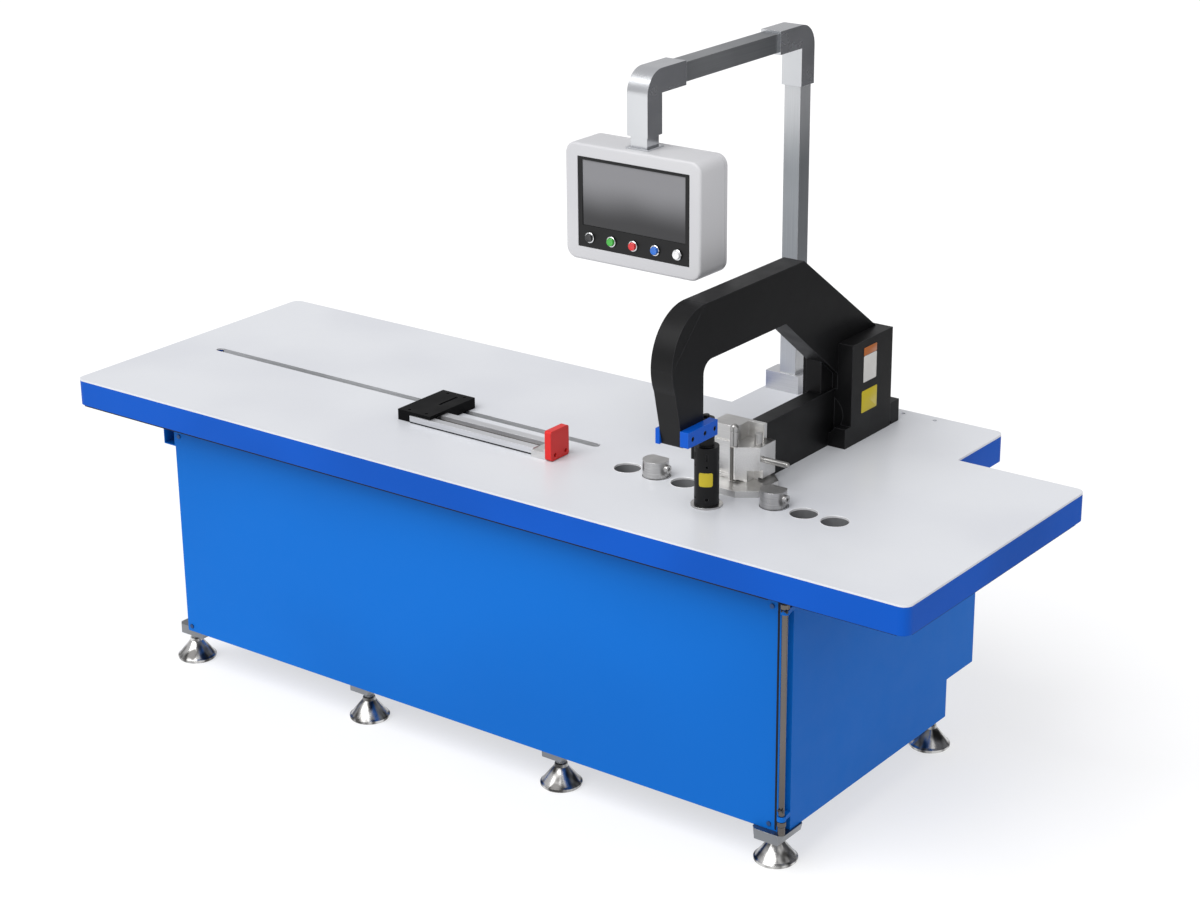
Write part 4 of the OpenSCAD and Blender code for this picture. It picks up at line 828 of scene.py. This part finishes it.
@dataclass
class Buttons:
    """The five push buttons with their rings.

    Attributes:
        collar_mm: width and depth of the hidden collar at a cap's rear.
        edge_mm: radius of a cap's edge.
        dish_mm: depth of the hollow in a cap.
        hollow: share of that depth and of the cap's radius, at each ring of the hollow.
        gap_mm: gap between cap and ring.
        ring_mm: distance behind the panel's plate and from the bore, at each corner of a ring.
        colours: cap colour and shade of each button.
    """

    collar_mm: tuple[float, float] = (2.0, 4.0)
    edge_mm: float = 1.4
    dish_mm: float = 1.0
    hollow: Profile = ((0.55, 0.72), (1.0, 0.45), (1.1, 0.1))
    gap_mm: float = 0.5
    ring_mm: Profile = ((2.0, 0), (-0.8, 0), (-1.3, 0.6), (-1.3, 1.9), (-0.4, 3.1), (1.6, 3.1), (2.0, 0))
    colours: dict[str, tuple[str, str]] = field(default_factory=lambda: {
        "black": ("#1a1a1c", "#232325"), "green": ("#3fae3c", "#38a036"), "red": ("#d8262a", "#c92226"),
        "blue": ("#1e6fd0", "#1a64c0"), "white": ("#eeeeee", "#e4e4e6")})

    def build(self) -> None:
        """Builds each cap on its own body, and its plated ring on the panel."""
        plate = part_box("panel_bezel")[0].y
        for name, (colour, shade) in self.colours.items():
            node = "button_" + name
            low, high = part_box(node)
            radius = (high.z - low.z) / 2 / MM - self.collar_mm[0]
            front = Vector(((low.x + high.x) / 2, low.y, (low.z + high.z) / 2))
            cap = turned("cap_" + name, front, REARWARD, self._cap(radius, (high.y - low.y) / MM),
                         button_finish(colour, shade))
            place(cap, node, node)
            ring = turned("button_ring_" + name, Vector((front.x, plate, front.z)), REARWARD, self.ring_mm,
                          CHROME, radius + self.gap_mm, closed=False)
            place(ring, "panel")

    def _cap(self, radius: float, deep: float) -> Profile:
        """Gives a cap's profile, with a round edge and a shallow dish.

        Args:
            radius: the cap's radius, in millimetres.
            deep: its depth, in millimetres.

        Returns:
            Distance behind its front, and radius, at each ring.
        """
        wide, long = self.collar_mm
        profile = [(deep, radius + wide), (deep - long, radius + wide), (deep - long, radius)]
        profile += [(back, radius - inset) for back, inset in quarter(self.edge_mm, 5)]
        return profile + [(self.dish_mm * down, radius * share) for down, share in self.hollow]


@dataclass
class Marks:
    """Plain fields of colour where the machine has its signs.

    Attributes:
        plates: height above the yoke's foot, width, height and finish of each plate on the yoke.
        shift: how far the plates stand behind the yoke's middle.
        chamfer: width of a plate's sloping edge.
        thick: thickness of a plate.
        corners: radius of the corners of a plate, and of the patch.
        post: radius of the post.
        patch: side of the square patch on the post.
        patch_up: height of its middle above the table.
        patch_turn: its turn about the post from the front to the right, in degrees.
    """

    plates: dict[str, tuple[float, float, float, Finish]] = field(default_factory=lambda: {
        "mark_white": (196 * MM, 64 * MM, 72 * MM, WHITE_PLATE),
        "mark_orange": (244 * MM, 64 * MM, 22 * MM, ORANGE_PLATE),
        "mark_yellow": (107 * MM, 76 * MM, 60 * MM, YELLOW_PLATE)})
    shift: float = 2 * MM
    chamfer: float = 0.3 * MM
    thick: float = 0.6 * MM
    corners: tuple[float, float] = (3 * MM, 5 * MM)
    post: float = 31 * MM
    patch: float = 36 * MM
    patch_up: float = 76 * MM
    patch_turn: float = 30

    def build(self) -> None:
        """Builds the plates on the yoke's right side and the patch on the post."""
        low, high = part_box("yoke")
        for name, (up, wide, tall, finish) in self.plates.items():
            middle = Vector((high.x, (low.y + high.y) / 2 + self.shift, low.z + up))
            rings = []
            for inset, out in ((0, 0), (0, 0.6 * self.thick), (self.chamfer, self.thick)):
                y, z = wide / 2 - inset, tall / 2 - inset
                outline = round_ring(-y, y, -z, z, 0, self.corners[0], 4)
                rings.append([middle + Vector((out, p.x, p.z)) for p in outline])
            place(loft(name, rings, finish), "machine")
        self._patch()

    def _patch(self) -> None:
        """Builds the thin patch that is wrapped on the post's front."""
        low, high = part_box("post_ring")
        centre = (low + high) / 2
        half = self.patch / 2
        outline = refined(round_ring(-half, half, -half, half, 0, self.corners[1], 5), 2 * MM)
        rings = []
        # Rings of the edge, then of the face, so that the face follows the post's curve.
        for scale, out in [(1.0, -0.3), (1.0, 0.3), (0.97, 0.5)] + [(0.9 - 0.11 * i, 0.5) for i in range(9)]:
            reach = self.post + out * MM
            ring = []
            for p in outline:
                turn = math.radians(self.patch_turn - 90) + scale * p.x / self.post
                ring.append(Vector((centre.x + reach * math.cos(turn), centre.y + reach * math.sin(turn),
                                    low.z + self.patch_up + scale * p.z)))
            rings.append(ring)
        place(loft("mark_post", rings, YELLOW_PLATE), "machine")


@dataclass
class StemThreads:
    """Threads on the bare stretch of each levelling foot's stem.

    Attributes:
        turns: number of crests above a pad.
        pitch_mm: distance between crests.
        root_mm: radius at a root.
        crest_mm: radius at a crest.
    """

    turns: int = 4
    pitch_mm: float = 3.0
    root_mm: float = 12.05
    crest_mm: float = 12.7

    def build(self) -> None:
        """Builds one joined piece of threaded sleeves, one above each pad."""
        profile = []
        for i in range(self.turns):
            profile += [((i + 0.1) * self.pitch_mm, self.root_mm), ((i + 0.6) * self.pitch_mm, self.crest_mm)]
        sleeves = [turned("stem", Vector(((low.x + high.x) / 2, (low.y + high.y) / 2, high.z)), UP, profile,
                          ZINC, sides=32) for low, high in solid_boxes("foot_pads")]
        place(joined("stem_threads", sleeves), "machine")


@dataclass
class HoleRims:
    """Bright chamfer round each open die hole.

    Attributes:
        gap_mm: how much wider the sheet's hole is than the bore under it.
        rim_mm: height above the table and distance from the sheet's hole, at each corner of a rim.
    """

    gap_mm: float = 0.5
    rim_mm: Profile = ((-5.5, -0.35), (-0.6, -0.35), (0.25, 0.5), (0.25, 1.8), (-0.1, 2.0))

    def build(self, record: dict) -> None:
        """Builds every rim as one piece.

        Args:
            record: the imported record, which states the open holes.
        """
        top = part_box("table_top")[1].z
        rims = []
        for mount in record["mounts"]:
            if mount["kind"] == "bore":
                at = Vector((mount["pos_m"][X], mount["pos_m"][Y], top))
                rims.append(turned("rim", at, UP, self.rim_mm, BRIGHT_STEEL,
                                   mount["dims"]["r_mm"] + self.gap_mm, 64, closed=False))
        place(joined("hole_rims", rims), "machine")


@dataclass
class SlotLips:
    """Steel lips that line both long sides of the gauge's slot, with thin strips on the sheet's cut edges.

    Attributes:
        margin: distance of the slot's sides from its stated space.
        thick: thickness of a lip.
        deep: depth of a lip.
        inset: how far lips and strips stand into the slot.
        strip: depths of the strips' upper and lower edges under the table's face.
        edges: width of the broken edges of the lips and of the strips.
    """

    margin: float = 1 * MM
    thick: float = 3 * MM
    deep: float = 17.8 * MM
    inset: float = 0.2 * MM
    strip: tuple[float, float] = (0.1 * MM, 5.2 * MM)
    edges: tuple[float, float] = (0.4 * MM, 0.05 * MM)

    def build(self, record: dict) -> None:
        """Builds the lips and the strips.

        Args:
            record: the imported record, whose openings state the slot's two free stretches.
        """
        spaces = {o["name"]: o["box_m"] for o in record["physics"]["openings"]}
        (x0, y0, _), (_, y1, _) = spaces["slot_left"]
        x1 = spaces["slot_right"][1][X]
        y0, y1 = y0 - self.margin, y1 + self.margin
        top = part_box("table_top")[1].z
        face, foot = (top - depth for depth in self.strip)
        lips = [bar("lip", (x0, a, foot - self.deep), (x1, b, foot), X, self.edges[0], SLOT_STEEL)
                for a, b in ((y0 - self.thick, y0 + self.inset), (y1 - self.inset, y1 + self.thick))]
        lips += [bar("strip", (x0, a, foot), (x1, b, face), X, self.edges[1], SLOT_STEEL)
                 for a, b in ((y0, y0 + self.inset), (y1 - self.inset, y1))]
        place(joined("slot_lips", lips), "machine")


@dataclass
class GaugeDetails:
    """Dark bands of painted shade in the gauge arm's groove, and a dark strip of painted shadow under its
    front edge.

    Attributes:
        groove: distances from the arm's front edge of the groove's four edges.
        heights: height of the groove's front shelf, floor and rear shelf above the arm's foot.
        gap: gap at each side of a band.
        thick: thickness of a band.
        joint: depths and heights that the painted shadow strip takes up, from the arm's front lower edge.
    """

    groove: tuple[float, ...] = (23 * MM, 32 * MM, 42 * MM, 51 * MM)
    heights: Spot = (9 * MM, 4 * MM, 9 * MM)
    gap: float = 0.2 * MM
    thick: float = 0.6 * MM
    joint: tuple[float, ...] = (0.5 * MM, 1.9 * MM, 0.3 * MM, 3.8 * MM)

    def build(self) -> None:
        """Builds the painted shade bands and the painted shadow strip on the carriage's body."""
        low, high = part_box("gauge_arm")
        # Dark bands that paint the shade on the groove's shelves and floor.
        bands = [bar("band", (low.x, low.y + a + self.gap, low.z + up),
                     (high.x, low.y + b - self.gap, low.z + up + self.thick), X, 0.15 * MM, HINGE_STEEL_AND_GROOVE_SHADE)
                 for a, b, up in zip(self.groove, self.groove[1:], self.heights)]
        place(joined("arm_groove_bands", bands), "gauge_carriage")
        # A dark strip of painted shadow under the arm's front edge.
        y0, y1, z0, z1 = self.joint
        joint = bar("arm_front_joint", (low.x, low.y + y0, low.z + z0), (high.x, low.y + y1, low.z + z1), X,
                    0.2 * MM, PAINTED_SHADOW_BLACK)
        place(joint, "gauge_carriage")


@dataclass
class SkirtShadowStrip:
    """Black strip of painted shadow under the table's edge, along the front and the right end.

    Attributes:
        corner: radius of the table's corners, where the strip stops.
        inset: how far the strip stands behind the edge's face.
        deep: its thickness, front to rear.
        tall: its height before the cabinet.
        thin: its height where the open door passes under it.
        side: its length along the right end.
        sunk: how far it stands up behind the edge's foot.
    """

    corner: float = 26 * MM
    inset: float = 0.3 * MM
    deep: float = 4.5 * MM
    tall: float = 3.4 * MM
    thin: float = 1.6 * MM
    side: float = 800 * MM
    sunk: float = 0.1 * MM

    def build(self) -> None:
        """Builds the three strips as one piece."""
        low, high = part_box("table_skirt")
        panel_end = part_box("front_panel")[1].x
        top = low.z + self.sunk
        y0, x1 = low.y + self.inset, high.x - self.inset
        y1, x0 = y0 + self.deep, x1 - self.deep
        near, right = low.y + self.corner, high.x - self.corner
        # Dark strips that paint the shadow line under the table's edge.
        strips = [bar(name, start, end, along, 0.2 * MM, PAINTED_SHADOW_BLACK) for name, start, end, along in (
            ("front", (low.x + self.corner, y0, top - self.tall), (panel_end, y1, top), X),
            ("door", (panel_end, y0, top - self.thin), (right, y1, top), X),
            ("side", (x0, near, top - self.thin), (x1, near + self.side, top), Y))]
        place(joined("skirt_seal", strips), "machine")


@dataclass
class HingeClips:
    """Small spring clips across the hinge rod, and a dark strip of painted shade in the gap beside the rod.

    Attributes:
        inset: distance of each clip from the rod's foot and from its top.
        axis: distance of the clips' middle from the hinge's right and front sides.
        clip_mm: distance from a clip's middle, and radius, at each ring.
        wide: width of the painted shade strip.
        clear: distance of the painted shade strip from the door.
        proud: how far the strip stands before and behind the panel's face.
        short: distance of the strip from the panel's foot and from its top.
    """

    inset: tuple[float, float] = (70 * MM, 18 * MM)
    axis: tuple[float, float] = (7 * MM, 2 * MM)
    clip_mm: Profile = ((-8.5, 1.2), (-8.5, 4), (-5.95, 4), (-4.25, 2), (4.25, 2), (5.95, 4), (8.5, 4),
                        (8.5, 1.2))
    wide: float = 6 * MM
    clear: float = 0.5 * MM
    proud: tuple[float, float] = (0.4 * MM, 0.2 * MM)
    short: tuple[float, float] = (4 * MM, 2 * MM)

    def build(self) -> None:
        """Builds both clips and the strip of painted shade."""
        low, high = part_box("door_hinge")
        x, y = high.x - self.axis[0], low.y + self.axis[1]
        clips = [turned("clip", Vector((x, y, z)), RIGHTWARD, self.clip_mm, BLACK_KNOB, sides=16)
                 for z in (low.z + self.inset[0], high.z - self.inset[1])]
        place(joined("hinge_clips", clips), "machine")
        # A dark strip of painted shade on the front panel's right edge, in the gap beside the hinge rod.
        low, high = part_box("front_panel")
        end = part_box("end_door")[0].x - self.clear
        gap = bar("hinge_gap", (end - self.wide, low.y - self.proud[0], low.z + self.short[0]),
                  (end, low.y + self.proud[1], high.z - self.short[1]), Z, 0.1 * MM, PAINTED_SHADOW_BLACK)
        place(gap, "machine")


@dataclass
class DieDetails:
    """Parts that show on the die block: the nose bar's lower run, and the dark rings of painted shade round
    the inserts' foot.

    Attributes:
        radius: radius of the nose bar's lower run.
        proud: how far it stands before the block's front.
        aside: distance of its axis from the left side of the die's pins.
        arc: where its round front starts and ends, in degrees from the right.
        rings: distance from the block's foot or top, and share of the radius, of each ring.
        shade_ring_mm: height above the table and distance from the insert, at each corner of a ring of
            painted shade.
    """

    radius: float = 8 * MM
    proud: float = 2.4 * MM
    aside: float = 10.5 * MM
    arc: tuple[float, float] = (200, 340)
    rings: Profile = ((1.0 * MM, 0.8), (2.5 * MM, 1.0), (-1.0 * MM, 1.0), (-0.2 * MM, 0.9))
    shade_ring_mm: Profile = ((0.05, 0.1), (0.35, 0.3), (0.35, 1.6), (0.05, 1.9))

    def build(self) -> None:
        """Builds the bar on the ram and the rings of painted shade on the table."""
        self._nose_run()
        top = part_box("table_top")[1].z
        # Dark rings that paint the shade in the gap round each insert's foot.
        shade_rings = [turned("joint", Vector(((low.x + high.x) / 2, (low.y + high.y) / 2, top)), UP,
                         self.shade_ring_mm, PAINTED_SHADOW_BLACK, (high.y - low.y) / 2 / MM, 64, closed=False)
                  for low, high in solid_boxes("die_inserts")]
        place(joined("insert_joints", shade_rings), "machine")

    def _nose_run(self) -> None:
        """Builds the round nose that runs down the block's front."""
        low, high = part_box("die_block")
        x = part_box("die_pins")[0].x + self.aside
        y = low.y - self.proud + self.radius
        start, end = self.arc
        turns = [math.radians(start + (end - start) * i / 16) for i in range(17)]
        rings = []
        for up, share in self.rings:
            reach = share * self.radius
            z = (low.z if up > 0 else high.z) + up
            rings.append([Vector((x + reach * math.cos(t), y + reach * math.sin(t), z)) for t in turns])
        place(loft("nose_run", rings, WORN_STEEL), "ram")


@dataclass
class Studio:
    """Floor, lights and camera.

    Attributes:
        floor: half the floor's side.
        card: left, front, rear and top of the grey card.
        sky: colour and strength of the pale sky.
        suns: direction from the machine, strength, and width in the sky in degrees, of each light.
        lens_mm: focal length on a 36 mm sensor.
        camera_at: the camera's place.
        azimuth: where the camera looks, in degrees from +Y towards +X.
        elevation: how far it stands above its target, in degrees.
        roll: its roll, in degrees.
    """

    floor: float = 40.0
    card: tuple[float, ...] = (1.8, 0.0, 6.0, 3.2)
    sky: tuple[str, float] = ("#fcfcfe", 0.58)
    suns: dict[str, tuple[Spot, float, float]] = field(default_factory=lambda: {
        "key_light": ((-0.12, -0.66, 0.85), 2.5, 50), "fill_light": ((0.85, -0.1, 0.5), 0.25, 60)})
    lens_mm: float = 77.0
    camera_at: Spot = (3.9699, -5.1691, 3.2001)
    azimuth: float = -37.0
    elevation: float = 20.673
    roll: float = -0.546

    def build(self) -> None:
        """Makes the floor, the light and the camera."""
        s = self.floor
        sheet("studio_floor", [(-s, -s, 0), (s, -s, 0), (s, s, 0), (-s, s, 0)], LIT_ACRYLIC)
        self._world()
        for name, (towards, strength, spread) in self.suns.items():
            self._sun(name, towards, strength, spread)
        self._card()
        self._camera()
        bpy.context.scene.view_settings.view_transform = "Standard"

    def _card(self) -> None:
        """Stands a grey card at the right rear that only reflections see, as is done to shape metal."""
        x, front, rear, top = self.card
        card = sheet("grey_card", [(x, front, 0), (x, rear, 0), (x, rear, top), (x, front, top)], GREY_FELT)
        card.visible_camera = card.visible_diffuse = card.visible_shadow = False

    def _world(self) -> None:
        """Lights the scene from a plain pale sky."""
        world = bpy.data.worlds.new("studio_sky")
        bpy.context.scene.world = world
        world.use_nodes = True
        tree = world.node_tree
        tree.nodes.clear()
        sky = add_node(tree, "Background", {"Color": linear(self.sky[0]), "Strength": self.sky[1]})
        add_node(tree, "OutputWorld", links={"Surface": sky})

    @staticmethod
    def _sun(name: str, towards: Spot, strength: float, spread: float) -> None:
        """Adds an even light from one direction, whose spread softens its shadows.

        Args:
            name: the light's name.
            towards: direction from the machine to the light.
            strength: its strength.
            spread: its width in the sky, in degrees.
        """
        data = bpy.data.lights.new(name, "SUN")
        data.energy = strength
        data.angle = math.radians(spread)
        lamp = bpy.data.objects.new(name, data)
        lamp.rotation_mode = "QUATERNION"
        lamp.rotation_quaternion = (-Vector(towards)).to_track_quat("-Z", "Y")
        bpy.context.scene.collection.objects.link(lamp)

    def _camera(self) -> None:
        """Places the camera."""
        data = bpy.data.cameras.new("camera")
        data.lens = self.lens_mm
        data.clip_end = 200
        camera = bpy.data.objects.new("camera", data)
        azimuth, elevation, roll = (math.radians(v) for v in (self.azimuth, self.elevation, self.roll))
        ahead = Vector((math.sin(azimuth) * math.cos(elevation), math.cos(azimuth) * math.cos(elevation),
                        -math.sin(elevation)))
        right = ahead.cross(UP).normalized()
        up = right.cross(ahead)
        turned_right = math.cos(roll) * right + math.sin(roll) * up
        turned_up = math.cos(roll) * up - math.sin(roll) * right
        turn = Matrix((turned_right, turned_up, -ahead)).transposed()
        camera.matrix_world = Matrix.Translation(self.camera_at) @ turn.to_4x4()
        bpy.context.scene.collection.objects.link(camera)
        bpy.context.scene.camera = camera


def dress_frame(nodes: dict[str, Piece]) -> None:
    """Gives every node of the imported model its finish.

    Args:
        nodes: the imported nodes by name.
    """
    finishes = NODE_FINISH | {column_finish(): ("column",), screen_finish(): ("panel_screen",)}
    for finish, names in finishes.items():
        for name in names:
            dress(nodes[name], finish)
            log.info("%s has %s", name, finish.name)


def main() -> None:
    """Builds the looks in order."""
    logging.basicConfig(level=logging.INFO)
    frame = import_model()
    dress_frame(frame["nodes"])
    PanelShell().build()
    Buttons().build()
    Marks().build()
    StemThreads().build()
    HoleRims().build(frame["record"])
    SlotLips().build(frame["record"])
    GaugeDetails().build()
    SkirtShadowStrip().build()
    HingeClips().build()
    DieDetails().build()
    Studio().build()


if __name__ == "__main__":
    main()
